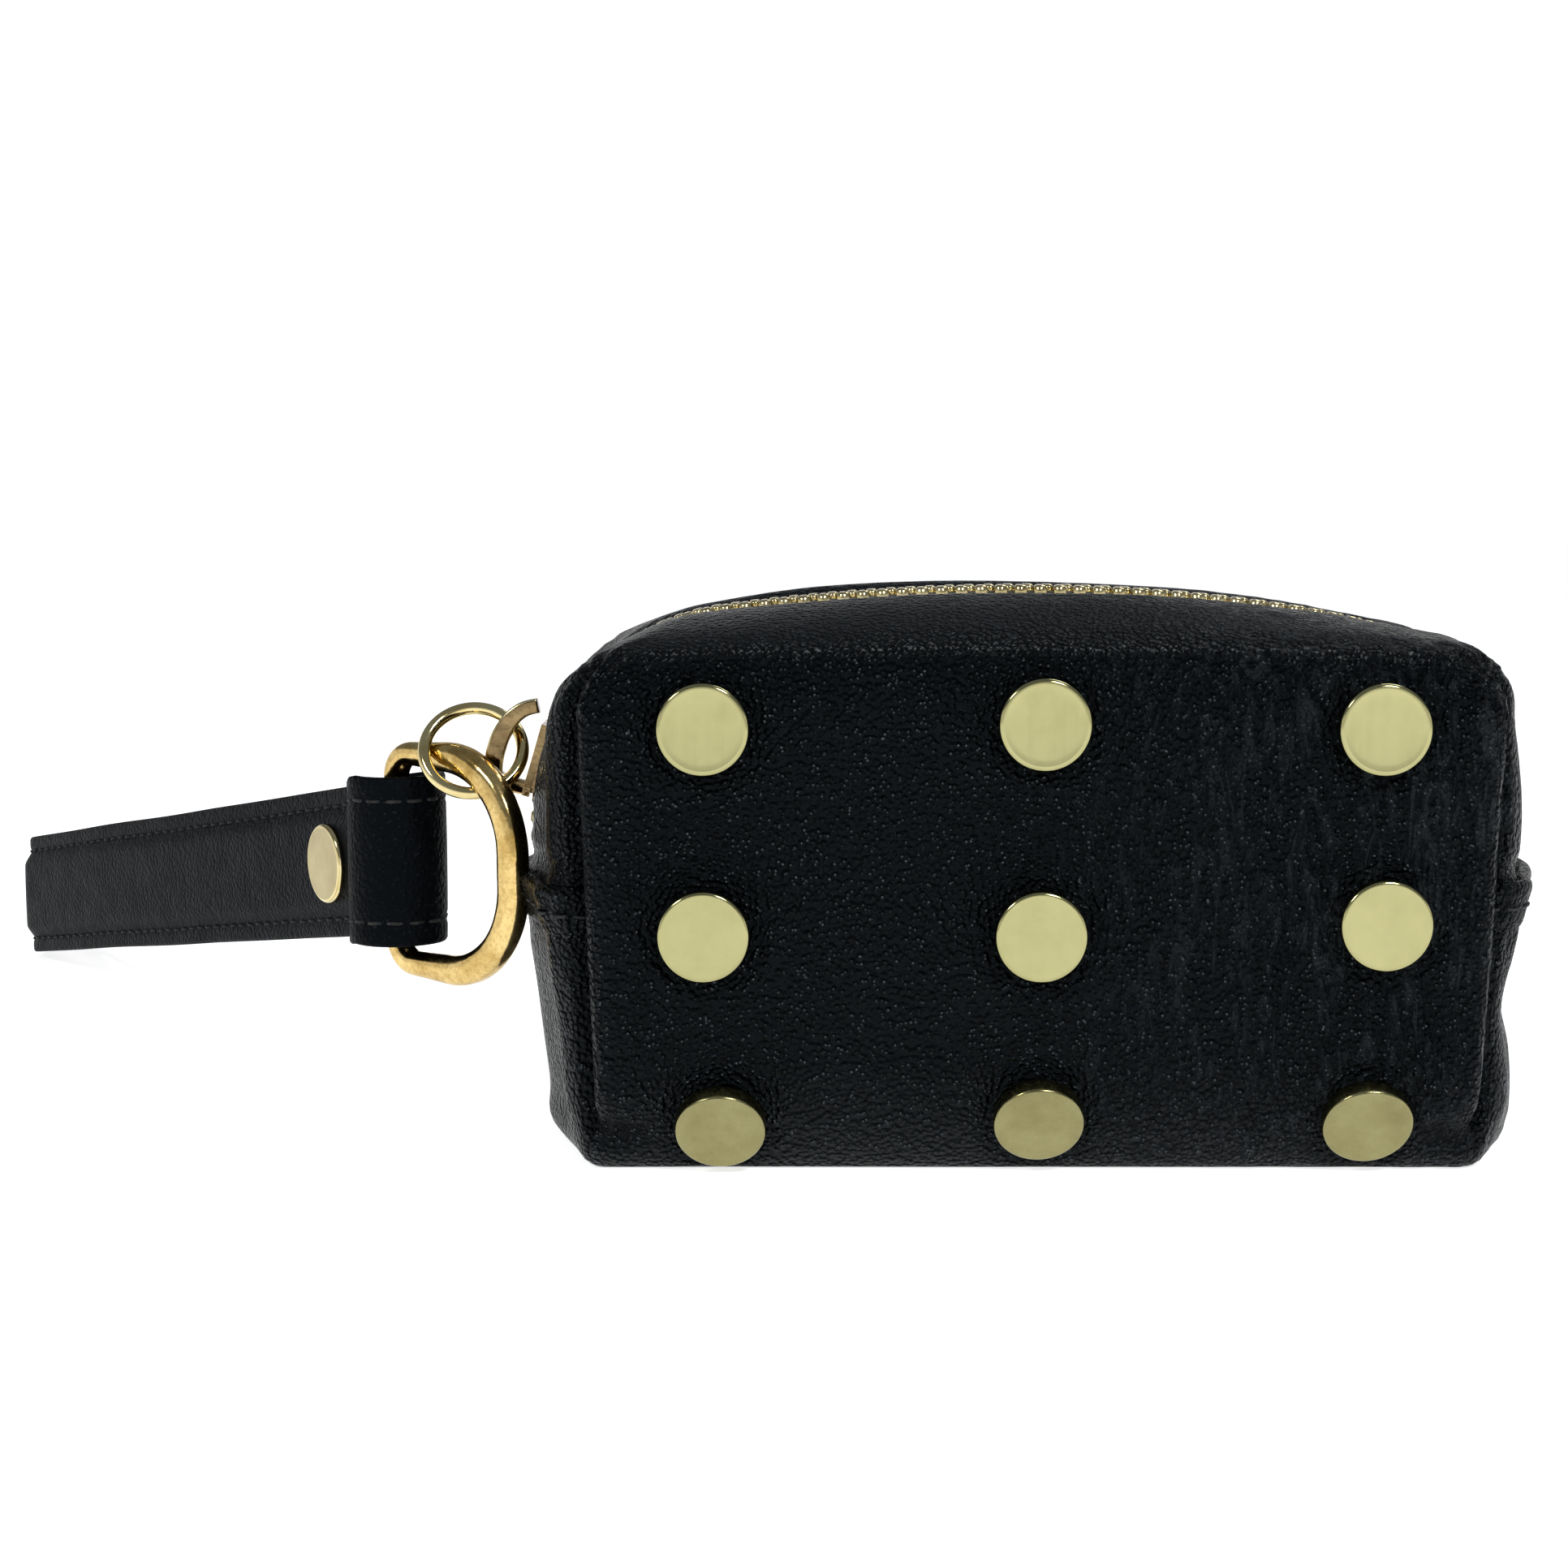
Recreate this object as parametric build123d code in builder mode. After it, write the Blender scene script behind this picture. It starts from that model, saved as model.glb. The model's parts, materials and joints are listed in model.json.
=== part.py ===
from build123d import *
from math import atan2, cos, degrees, radians, sin, sqrt, tan
import os

# Small zip makeup bag, millimetres, +Z up, front face towards -Y.
# The origin is the centre of the flat bottom face that the bag stands on.

# ---- driving dimensions -------------------------------------------------
# Cross stations of the padded body, from the zip line (y = 0) to the front face.
# y, half length, bottom height, top height, left and right shoulder radii,
# left and right top arc radii, bottom corner radius
STATIONS = [
    (0.0, 66.0, 0.0, 74.0, 29.5, 12.0, 300.0, 240.0, 6.0),
    (4.7, 66.0, 0.0, 74.0, 29.5, 12.0, 300.0, 240.0, 6.0),
    (12.0, 63.9, 0.0, 72.7, 23.5, 10.5, 400.0, 320.0, 6.0),
    (19.0, 61.0, 0.0, 70.6, 16.0, 8.5, 700.0, 600.0, 6.0),
    (23.2, 58.8, 1.2, 69.0, 11.5, 7.5, 1500.0, 1400.0, 5.5),
    (26.0, 57.0, 6.9, 67.0, 9.0, 6.5, 2500.0, 2400.0, 5.0),
    (28.5, 54.0, 12.0, 63.0, 6.0, 5.5, 4000.0, 3800.0, 4.5),
]
FRONT = STATIONS[-1]
TOE = STATIONS[-3]
HALF_DEPTH = FRONT[0]
LEATHER = 1.4
LAYER_GAP = 0.05
INTERLINING = 0.6
BOARD_HALF = 52.0
BOARD_BOTTOM = 13.5
BOARD_TOP = 61.5
BASE_HALF = (54.0, 17.5)
LINING = 0.5

# End faces: lapped seam at mid height, zip above it.
SEAM_Z = 37.0
HEM_HEIGHT = 4.6
HEM_THICKNESS = 0.8
GUSSET_X = 54.6
GUSSET_Y = 24.2
GUSSET_BOTTOM = 2.2
GUSSET_TOP = 61.0
ZIP_SLOT = 4.8
LINING_SLOT = 5.3
TAPE_EDGE = 2.95
TAPE_WIDTH = 9.5

# Mouth flaps: the top leather from the front and back rolls to the zip.
FLAP_LEFT = -34.0
FLAP_RIGHT = 54.0
HINGE_Y = 26.2
HINGE_Z = 67.2
FLAP_GAP = 0.4
FLAP_ROLL = 4.2

# Zip
TOOTH_PITCH = 2.63
TOOTH_LENGTH = 1.5
TOOTH_INNER = 0.5
TOOTH_OUTER = 2.9
TOOTH_HALF_HEIGHT = 1.2
STOP_LENGTH = 1.6
TAPE_MID = LEATHER + LAYER_GAP + INTERLINING / 2

# Slider, on the left shoulder arc
SLIDER_ANGLE = 163.5
SLIDER_HALF_LENGTH = 5.0
SLIDER_HALF_WIDTH = 4.3
SLIDER_TAIL_WIDTH = 3.9
CHANNEL_HALF_HEIGHT = 1.7
PLATE = 1.0
CROWN_HALF_WIDTH = 1.0
CROWN_HOLE = 3.6
CROWN_THICKNESS = 1.6

# Jump ring
RING_RADIUS = 6.63
RING_WIRE = 0.86
RING_DROP = 12.0
RING_LEAN = 36.0
RING_SEAT = 4.3

# D-ring
BAR_X = -85.5
BAR_Y = 7.6
BAR_Z = 36.0
DEE_YAW = -41.0
DEE_DEPTH = 23.3
DEE_HALF_HEIGHT = 14.6
DEE_CORNER = 3.6
DEE_BOW = 10.0
DEE_WIRE = 1.65

# Wrist strap
STRAP_YAW = 124.0
STRAP_HEIGHT = 21.6
STRAP_DROP = 0.168
STRAP_LENGTH = 150.0
STRAP_START = 5.2
STRAP_END_RADIUS = 7.6
STRAP_SKIN = 0.9
STRAP_CORE = 1.6
STRAP_NECK = 26.0
STRAP_SLIT = 0.05
FOLD_HEIGHT = 23.4
FOLD_RADIUS = 6.8
FOLD_SKIN = 1.2
FOLD_BORE = 1.95
RIVET_AT = 15.0
RIVET_HEAD = 5.7
RIVET_HEAD_HEIGHT = 1.3
RIVET_CAP = 5.0
RIVET_CAP_HEIGHT = 1.0

# Studs
STUD_RADIUS = 5.75
STUD_HEIGHT = 2.2
STUD_BEVEL = 0.35
STUD_SHANK = 1.5
STUD_SHANK_LENGTH = 5.0
STUD_NUT_RADIUS = 4.0
STUD_NUT_HEIGHT = 1.2
STUD_COLUMNS = (-42.0, 0.0, 42.0)
STUD_ROWS = (57.2, 31.4)
STUD_LOW_COLUMNS = (-40.5, 0.0, 40.5)
STUD_LOW_Z = 7.0
STUD_LIFT = 0.02
STUD_NUT_DEPTH = 3.75

FULL = 400.0

os.makedirs("parts", exist_ok=True)


def save(part, name):
    part.label = name
    export_step(part, f"parts/{name}.step")


def shoulder_points(half, top, shoulder, crown):
    """Start, middle and end of the shoulder arc that joins an end wall to the top arc."""
    centre_x = half - shoulder
    reach = sqrt((crown - shoulder) ** 2 - centre_x**2)
    centre_z = top - crown + reach
    lean = atan2(centre_x, reach)
    half_way = (radians(90) + lean) / 2
    middle = (centre_x + shoulder * sin(half_way), centre_z + shoulder * cos(half_way))
    end = (centre_x + shoulder * sin(lean), centre_z + shoulder * cos(lean))
    return (half, centre_z), middle, end


def mirrored(points):
    return [(-x, z) for x, z in points]


def outline(station, inset, side):
    """Rounded outline of the body at one cross station, moved inwards by inset."""
    y, half, bottom, top, left_r, right_r, left_arch, right_arch, corner = station
    y_here = side * y * (1 - inset / HALF_DEPTH)
    half -= inset
    bottom += inset
    top -= inset
    right = shoulder_points(half, top, right_r - inset, right_arch - inset)
    left = mirrored(shoulder_points(half, top, left_r - inset, left_arch - inset))
    corner = max(corner - inset, 1.0)
    chord = corner * (1 - cos(radians(45)))
    foot = [
        (half - corner, bottom),
        (half - chord, bottom + chord),
        (half, bottom + corner),
    ]
    crown = (0, top)
    with BuildSketch(Plane.XZ.offset(-y_here)) as face:
        with BuildLine():
            Line(mirrored(foot)[0], foot[0])
            ThreePointArc(*foot)
            Line(foot[2], right[0])
            ThreePointArc(*right)
            TangentArc(crown, right[2], tangent=(1, 0))
            TangentArc(crown, left[2], tangent=(-1, 0))
            ThreePointArc(*reversed(left))
            Line(left[0], mirrored(foot)[2])
            ThreePointArc(*reversed(mirrored(foot)))
        make_face()
    return face.sketch


def body_solid(inset):
    """The whole padded body, moved inwards by inset."""
    front = [outline(station, inset, -1) for station in reversed(STATIONS)]
    back = [outline(station, inset, 1) for station in STATIONS[1:]]
    with BuildPart() as body:
        loft(sections=front + back, ruled=True)
    return body.part


def layer(outer, inner):
    """Hollow shell between two insets of the body."""
    with BuildPart() as shell:
        add(body_solid(outer))
        add(body_solid(inner), mode=Mode.SUBTRACT)
    return shell.part


def block(x0, x1, y0, y1, z0, z1):
    with BuildPart(Plane(((x0 + x1) / 2, (y0 + y1) / 2, (z0 + z1) / 2))) as box:
        Box(x1 - x0, y1 - y0, z1 - z0)
    return box.part


def flap_tool(side, gap, inner_y):
    """Prism that holds one mouth flap, from its hinge roll to inner_y at the zip."""
    hinge = HINGE_Y - gap
    with BuildSketch(Plane.YZ.offset(FLAP_LEFT - (FLAP_GAP - gap))) as profile:
        with BuildLine():
            Polyline(
                (side * hinge, FULL),
                (side * hinge, HINGE_Z),
                (side * (hinge - FLAP_ROLL), HINGE_Z - FLAP_ROLL),
                (side * inner_y, HINGE_Z - FLAP_ROLL),
                (side * inner_y, FULL),
                close=True,
            )
        make_face()
    with BuildPart() as tool:
        extrude(profile.sketch, amount=FLAP_RIGHT - FLAP_LEFT + 2 * (FLAP_GAP - gap))
    return tool.part


def keep(shape, *tools):
    """The part of shape that lies inside every tool."""
    with BuildPart() as result:
        add(shape)
        for tool in tools:
            add(tool, mode=Mode.INTERSECT)
    return result.part


def cut(shape, *tools):
    """Shape with every tool taken away."""
    with BuildPart() as result:
        add(shape)
        for tool in tools:
            add(tool, mode=Mode.SUBTRACT)
    return result.part


def join(*shapes):
    """Several separate solids in one node."""
    with BuildPart() as group:
        for shape in shapes:
            add(shape)
    return group.part


# ---- studs on the front face ----------------------------------------------
LOW_TILT = degrees(atan2(FRONT[0] - TOE[0], FRONT[2] - TOE[2]))
low_out = Vector(0, -cos(radians(LOW_TILT)), -sin(radians(LOW_TILT)))
low_y = -FRONT[0] + (FRONT[2] - STUD_LOW_Z) * tan(radians(LOW_TILT))
stud_planes = [
    Plane((x, -HALF_DEPTH, z), x_dir=(1, 0, 0), z_dir=(0, -1, 0))
    for z in STUD_ROWS
    for x in STUD_COLUMNS
]
stud_planes += [
    Plane((x, low_y, STUD_LOW_Z), x_dir=(1, 0, 0), z_dir=low_out).offset(STUD_LIFT)
    for x in STUD_LOW_COLUMNS
]



def stud(plane, radius, height, shank_length):
    """Flat bevelled head on a plane, with a shank behind it."""
    with BuildPart() as piece:
        with BuildSketch(plane):
            Circle(radius)
        extrude(amount=height)
        outer_face = piece.faces().sort_by(Axis(plane.origin, plane.z_dir))[-1]
        chamfer(outer_face.edges(), STUD_BEVEL)
        with BuildSketch(plane):
            Circle(STUD_SHANK)
        extrude(amount=-shank_length)
    return piece.part


stud_heads = [stud(plane, STUD_RADIUS, STUD_HEIGHT, STUD_SHANK_LENGTH) for plane in stud_planes]
save(join(*stud_heads), "front_studs")

with BuildPart() as stud_nuts:
    for plane in stud_planes:
        with BuildSketch(plane.offset(-STUD_NUT_DEPTH)):
            Circle(STUD_NUT_RADIUS)
            Circle(STUD_SHANK, mode=Mode.SUBTRACT)
        extrude(amount=-STUD_NUT_HEIGHT)
save(stud_nuts.part, "stud_nuts")

with BuildPart() as stud_holes:
    for plane in stud_planes:
        with BuildSketch(plane.offset(1)):
            Circle(STUD_SHANK + 0.05)
        extrude(amount=-STUD_SHANK_LENGTH - 1)

# ---- cutting tools ---------------------------------------------------------
region = {
    "front": block(-FULL, FULL, -FULL, 0.0, -FULL, FULL),
    "back": block(-FULL, FULL, 0.0, FULL, -FULL, FULL),
    "left": block(-FULL, -GUSSET_X, -GUSSET_Y, GUSSET_Y, GUSSET_BOTTOM, GUSSET_TOP),
    "right": block(GUSSET_X, FULL, -GUSSET_Y, GUSSET_Y, GUSSET_BOTTOM, GUSSET_TOP),
    "above": block(-FULL, FULL, -FULL, FULL, SEAM_Z, FULL),
    "below": block(-FULL, FULL, -FULL, FULL, -FULL, SEAM_Z),
}
zip_slot = block(-FULL, FULL, -ZIP_SLOT, ZIP_SLOT, SEAM_Z, FULL)
lining_slot = block(-FULL, FULL, -LINING_SLOT, LINING_SLOT, SEAM_Z, FULL)
flap_room = {side: flap_tool(sign, 0.0, 0.0) for side, sign in (("front", -1), ("back", 1))}

# ---- leather ------------------------------------------------------------
leather = layer(0, LEATHER)
for side, sign in (("front", -1), ("back", 1)):
    panel = keep(leather, region[side])
    panel = cut(panel, region["left"], region["right"], zip_slot, flap_room[side])
    if side == "front":
        panel = cut(panel, stud_holes.part)
    save(panel, f"{side}_panel")
    flap = keep(leather, flap_tool(sign, FLAP_GAP, ZIP_SLOT))
    save(flap, f"{side}_top_flap")

hem_shell = layer(-HEM_THICKNESS, 0)
for end in ("left", "right"):
    gusset = keep(leather, region[end])
    save(keep(gusset, region["below"]), f"{end}_lower_gusset")
    upper = cut(keep(gusset, region["above"]), zip_slot)
    save(upper, f"{end}_upper_gusset")
    reach = (-FULL, -GUSSET_X) if end == "left" else (GUSSET_X, FULL)
    hem_box = block(*reach, -GUSSET_Y + 1, GUSSET_Y - 1, SEAM_Z - HEM_HEIGHT, SEAM_Z)
    save(keep(hem_shell, hem_box), f"{end}_seam_hem")

# ---- interlining, base board and zip tape ---------------------------------
tape_top = LEATHER + LAYER_GAP
middle = layer(tape_top, tape_top + INTERLINING)
wall = block(-BOARD_HALF, BOARD_HALF, -FULL, FULL, BOARD_BOTTOM, BOARD_TOP)
wall = cut(wall, block(-FULL, FULL, -GUSSET_Y, GUSSET_Y, -FULL, FULL))
save(cut(keep(middle, wall, region["front"]), stud_holes.part), "front_stiffener")
save(keep(middle, wall, region["back"]), "back_stiffener")
base_length, base_depth = BASE_HALF
base_room = block(-base_length, base_length, -base_depth, base_depth, -FULL, 2 * LEATHER)
save(keep(middle, base_room), "base_board")

root_ends = {
    "left": block(-FULL, FLAP_LEFT - FLAP_GAP, -TAPE_WIDTH, TAPE_WIDTH, SEAM_Z + 0.2, FULL),
    "right": block(FLAP_RIGHT + FLAP_GAP, FULL, -TAPE_WIDTH, TAPE_WIDTH, SEAM_Z + 0.2, FULL),
}
tape_slit = block(-FULL, FULL, -TAPE_EDGE, TAPE_EDGE, SEAM_Z, FULL)
for end in ("left", "right"):
    save(cut(keep(middle, root_ends[end]), tape_slit), f"{end}_zip_tape")
flap_band = block(FLAP_LEFT, FLAP_RIGHT, -TAPE_WIDTH, TAPE_WIDTH, HINGE_Z - FLAP_ROLL, FULL)
for side in ("front", "back"):
    save(cut(keep(middle, flap_band, region[side]), tape_slit), f"{side}_zip_tape")

# ---- lining ------------------------------------------------------------
lining_top = tape_top + INTERLINING + LAYER_GAP
lining = layer(lining_top, lining_top + LINING)
for side, sign in (("front", -1), ("back", 1)):
    half = cut(keep(lining, region[side]), lining_slot, flap_room[side])
    if side == "front":
        half = cut(half, stud_holes.part)
    save(half, f"{side}_lining")
    save(keep(lining, flap_tool(sign, FLAP_GAP, LINING_SLOT)), f"{side}_flap_lining")

# ---- zip path ------------------------------------------------------------
_, end_half, _, top_z, left_shoulder, right_shoulder, left_arch, right_arch, _ = STATIONS[0]


def zip_side(shoulder, arch):
    """Shoulder centre, path radii and lengths of the zip path on one side of the top centre."""
    centre_x = end_half - shoulder
    reach = sqrt((arch - shoulder) ** 2 - centre_x**2)
    lean = atan2(centre_x, reach)
    return {
        "x": centre_x,
        "z": top_z - arch + reach,
        "radius": shoulder - TAPE_MID,
        "arch_centre": top_z - arch,
        "arch": arch - TAPE_MID,
        "lean": lean,
        "arch_length": (arch - TAPE_MID) * lean,
        "shoulder_length": (shoulder - TAPE_MID) * (radians(90) - lean),
    }


zip_sides = {-1: zip_side(left_shoulder, left_arch), 1: zip_side(right_shoulder, right_arch)}


def path_end(side):
    """Length of the zip path from the top centre to the end seam."""
    part = zip_sides[side]
    return part["arch_length"] + part["shoulder_length"] + part["z"] - SEAM_Z


def zip_plane(distance):
    """Plane on the zip path; distance runs from the top centre, negative to the left."""
    side = -1 if distance < 0 else 1
    path = zip_sides[side]
    run = abs(distance)
    bend = run - path["arch_length"]
    if bend <= 0:
        turn = run / path["arch"]
        x = path["arch"] * sin(turn)
        z = path["arch_centre"] + path["arch"] * cos(turn)
    elif bend <= path["shoulder_length"]:
        turn = path["lean"] + bend / path["radius"]
        x = path["x"] + path["radius"] * sin(turn)
        z = path["z"] + path["radius"] * cos(turn)
    else:
        turn = radians(90)
        x = path["x"] + path["radius"]
        z = path["z"] - (bend - path["shoulder_length"])
    normal = (side * sin(turn), 0, cos(turn))
    along = (cos(turn), 0, -side * sin(turn))
    return Plane((side * x, 0, z), x_dir=along, z_dir=normal)


def tooth_row(start, stop, side, shift):
    """Separate teeth on one side of the zip between two places on its path."""
    count = int((stop - start) / TOOTH_PITCH)
    with BuildPart() as row:
        for index in range(count):
            plane = zip_plane(start + (index + shift) * TOOTH_PITCH)
            middle_y = side * (TOOTH_INNER + TOOTH_OUTER) / 2
            with BuildSketch(plane.offset(-TOOTH_HALF_HEIGHT)):
                with Locations((0, middle_y)):
                    Rectangle(TOOTH_LENGTH, TOOTH_OUTER - TOOTH_INNER)
            extrude(amount=2 * TOOTH_HALF_HEIGHT)
    return row.part


left_span = (-path_end(-1) + 2.6, FLAP_LEFT - 1.4)
flap_span = (FLAP_LEFT, FLAP_RIGHT - 0.6)
right_span = (FLAP_RIGHT + 2.2, path_end(1) - 3.4)
for name, span in (("left", left_span), ("right", right_span)):
    pair = join(
        tooth_row(*span, -1, 0.5),
        tooth_row(*span, 1, 0.9),
    )
    save(pair, f"{name}_zip_teeth")
save(tooth_row(*flap_span, -1, 0.5), "front_zip_teeth")
save(tooth_row(*flap_span, 1, 0.9), "back_zip_teeth")

with BuildPart() as stops:
    for distance in (-path_end(-1) + 1.3, path_end(1) - 1.3):
        for side in (-1, 1):
            plane = zip_plane(distance)
            with BuildSketch(plane.offset(-TOOTH_HALF_HEIGHT)):
                with Locations((0, side * (TOOTH_INNER + TOOTH_OUTER) / 2)):
                    Rectangle(STOP_LENGTH, TOOTH_OUTER - TOOTH_INNER)
            extrude(amount=2 * TOOTH_HALF_HEIGHT)
save(stops.part, "zip_end_stops")

# ---- slider -------------------------------------------------------------
slider_polar = radians(SLIDER_ANGLE)
left_path = zip_sides[-1]
slider_origin = Vector(
    -left_path["x"] + left_path["radius"] * cos(slider_polar),
    0,
    left_path["z"] + left_path["radius"] * sin(slider_polar),
)
slider_up = Vector(sin(slider_polar), 0, -cos(slider_polar))
slider_out = Vector(cos(slider_polar), 0, sin(slider_polar))
slider_side = Plane(slider_origin, x_dir=slider_up, z_dir=(0, -1, 0))
slider_face = Plane(slider_origin, x_dir=slider_up, z_dir=slider_out)
rim_in = CHANNEL_HALF_HEIGHT
rim_slot = rim_in / 2
rim_width = SLIDER_TAIL_WIDTH - TOOTH_OUTER - 0.2
rim_length = 2 * SLIDER_HALF_LENGTH - 1.6
with BuildPart() as slider_body:
    for side in (1, -1):
        start = rim_in if side > 0 else -rim_in - PLATE
        with BuildSketch(slider_face.offset(start)):
            with BuildLine():
                Polyline(
                    (-SLIDER_HALF_LENGTH, -SLIDER_HALF_WIDTH + 1.0),
                    (-SLIDER_HALF_LENGTH + 1.2, -SLIDER_HALF_WIDTH),
                    (0, -SLIDER_TAIL_WIDTH),
                    (SLIDER_HALF_LENGTH, -SLIDER_TAIL_WIDTH),
                    (SLIDER_HALF_LENGTH, SLIDER_TAIL_WIDTH),
                    (0, SLIDER_TAIL_WIDTH),
                    (-SLIDER_HALF_LENGTH + 1.2, SLIDER_HALF_WIDTH),
                    (-SLIDER_HALF_LENGTH, SLIDER_HALF_WIDTH - 1.0),
                    close=True,
                )
            make_face()
        extrude(amount=PLATE)
        rim_start = rim_slot if side > 0 else -rim_in
        with BuildSketch(slider_face.offset(rim_start)):
            for edge in (-1, 1):
                with Locations((0.6, edge * (SLIDER_TAIL_WIDTH - rim_width / 2))):
                    Rectangle(rim_length, rim_width)
        extrude(amount=rim_in - rim_slot)
    with BuildSketch(slider_face.offset(-rim_in)):
        with Locations((-SLIDER_HALF_LENGTH + 1.8, 0)):
            Rectangle(3.2, 2 * (TOOTH_INNER - 0.2))
    extrude(amount=2 * rim_in)
save(slider_body.part, "slider_body")

plate_top = rim_in + PLATE
crown_in = plate_top + CROWN_HOLE
crown_out = crown_in + CROWN_THICKNESS
with BuildPart() as slider_crown:
    with BuildSketch(slider_side):
        with BuildLine():
            foot = Line((-4.9, plate_top), (-3.3, plate_top))
            leg = Line(foot @ 1, (-3.3, crown_in - 1.2))
            inner_bend = RadiusArc(leg @ 1, (-2.1, crown_in), 1.2)
            roof = Line(inner_bend @ 1, (2.2, crown_in))
            tip_in = Line(roof @ 1, (3.4, plate_top + 0.9))
            tip_end = Line(tip_in @ 1, (5.0, plate_top + 1.5))
            tip_out = Spline(
                tip_end @ 1,
                (4.6, crown_out - 1.7),
                (2.4, crown_out - 0.1),
                (-0.6, crown_out),
                tangents=((0.1, 1), (-1, 0)),
            )
            shoulder_arc = Spline(
                tip_out @ 1,
                (-3.6, crown_out - 1.1),
                (-4.9, crown_in - 1.4),
                tangents=((-1, 0), (0, -1)),
            )
            Line(shoulder_arc @ 1, foot @ 0)
        make_face()
    extrude(amount=CROWN_HALF_WIDTH, both=True)
save(slider_crown.part, "slider_crown")

# ---- jump ring --------------------------------------------------------------
seat = slider_origin + slider_out * RING_SEAT - slider_up * 0.1
drop = radians(RING_DROP)
lean = radians(RING_LEAN)
ring_reach = slider_out * cos(drop) - slider_up * sin(drop)
ring_up = slider_up * cos(drop) + slider_out * sin(drop)
ring_tangent = ring_up * cos(lean) + Vector(0, 1, 0) * sin(lean)
ring_centre = seat + ring_reach * RING_RADIUS
ring_plane = Plane(ring_centre, x_dir=ring_reach, z_dir=ring_tangent.cross(ring_reach))
wire_plane = Plane(ring_centre, x_dir=ring_reach, z_dir=ring_tangent)
with BuildPart() as jump_ring:
    with BuildSketch(wire_plane):
        with Locations((RING_RADIUS, 0)):
            Circle(RING_WIRE)
    revolve(axis=Axis(ring_centre, ring_plane.z_dir))
save(jump_ring.part, "jump_ring")
print(f"ring seat {tuple(round(v, 3) for v in seat)}")

# ---- D-ring ----------------------------------------------------------------
dee_yaw = radians(DEE_YAW)
dee_out = Vector(cos(dee_yaw), sin(dee_yaw), 0)
bar_centre = Vector(BAR_X, BAR_Y, BAR_Z)
dee_plane = Plane(bar_centre, x_dir=dee_out, z_dir=dee_out.cross(Vector(0, 0, 1)))
half_h = DEE_HALF_HEIGHT
with BuildLine(dee_plane) as dee_path:
    FilletPolyline(
        (0, -half_h),
        (0, half_h),
        (DEE_DEPTH, half_h),
        (DEE_DEPTH, -half_h),
        radius=[DEE_CORNER, DEE_CORNER, DEE_BOW, DEE_BOW],
        close=True,
    )
dee_wire = dee_path.wires()[0]
with BuildPart() as d_ring:
    with BuildSketch(Plane(dee_wire @ 0, z_dir=dee_wire % 0)):
        Circle(DEE_WIRE)
    sweep(path=dee_wire)
save(d_ring.part, "d_ring")

# ---- wrist strap ----------------------------------------------------------
strap_yaw = radians(STRAP_YAW)
strap_along = Vector(cos(strap_yaw), sin(strap_yaw), 0)
strap_floor = Plane((BAR_X, BAR_Y, 0), x_dir=strap_along, z_dir=(0, 0, 1))
strap_face = Plane((BAR_X, BAR_Y, 0), x_dir=strap_along, z_dir=strap_along.cross(Vector(0, 0, 1)))
strap_thick = 2 * STRAP_SKIN + STRAP_CORE
strap_half = strap_thick + STRAP_SLIT


def loop_plan(half, end_radius):
    """Plan outline of a long loop: half its width along the neck, and the radius of its far end."""
    end_x = STRAP_LENGTH - STRAP_END_RADIUS
    with BuildSketch(strap_floor) as face:
        with BuildLine():
            Polyline(
                (end_x, -end_radius),
                (STRAP_NECK, -half),
                (STRAP_START, -half),
                (STRAP_START, half),
                (STRAP_NECK, half),
                (end_x, end_radius),
            )
            ThreePointArc((end_x, end_radius), (end_x + end_radius, 0), (end_x, -end_radius))
        make_face()
    return face.sketch


def loop_outline(inset):
    """Plan outline of the strap loop, moved inwards by inset from its outer skin."""
    return loop_plan(strap_half - inset, STRAP_END_RADIUS - inset)


def strap_band():
    """Slanting side outline of the strap, as a block that spans the loop."""
    start_z = BAR_Z - STRAP_DROP * STRAP_START
    end_z = BAR_Z - STRAP_DROP * STRAP_LENGTH
    half = STRAP_HEIGHT / 2
    with BuildSketch(strap_face) as face:
        with BuildLine():
            Polyline(
                (STRAP_START, start_z - half),
                (STRAP_LENGTH, end_z - half),
                (STRAP_LENGTH, end_z + half),
                (STRAP_START, start_z + half),
                close=True,
            )
        make_face()
    with BuildPart() as band:
        extrude(face.sketch, amount=STRAP_END_RADIUS + 5, both=True)
    return band.part


def strap_ring(outer, inner):
    """One layer of the strap loop between two plan outlines."""
    with BuildPart() as ring:
        extrude(outer, amount=BAR_Z + STRAP_HEIGHT)
        extrude(inner, amount=BAR_Z + STRAP_HEIGHT, mode=Mode.SUBTRACT)
    return keep(ring.part, strap_band())


rivet_z = BAR_Z - STRAP_DROP * RIVET_AT
rivet_plane = Plane(
    strap_floor.from_local_coords(Vector(RIVET_AT, strap_half, rivet_z)),
    x_dir=strap_along,
    z_dir=strap_floor.y_dir,
)
rivet_span = 2 * strap_half
with BuildPart() as rivet_hole:
    with BuildSketch(rivet_plane.offset(2)):
        Circle(STUD_SHANK + 0.02)
    extrude(amount=-rivet_span - 4)

outer_skin = strap_ring(loop_outline(0), loop_outline(STRAP_SKIN))
padding = strap_ring(loop_outline(STRAP_SKIN), loop_outline(STRAP_SKIN + STRAP_CORE))
inner_skin = strap_ring(loop_outline(STRAP_SKIN + STRAP_CORE), loop_outline(strap_thick))
save(cut(outer_skin, rivet_hole.part), "strap_outer_leather")
save(cut(inner_skin, rivet_hole.part), "strap_inner_leather")
save(cut(padding, rivet_hole.part), "strap_padding")

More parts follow.
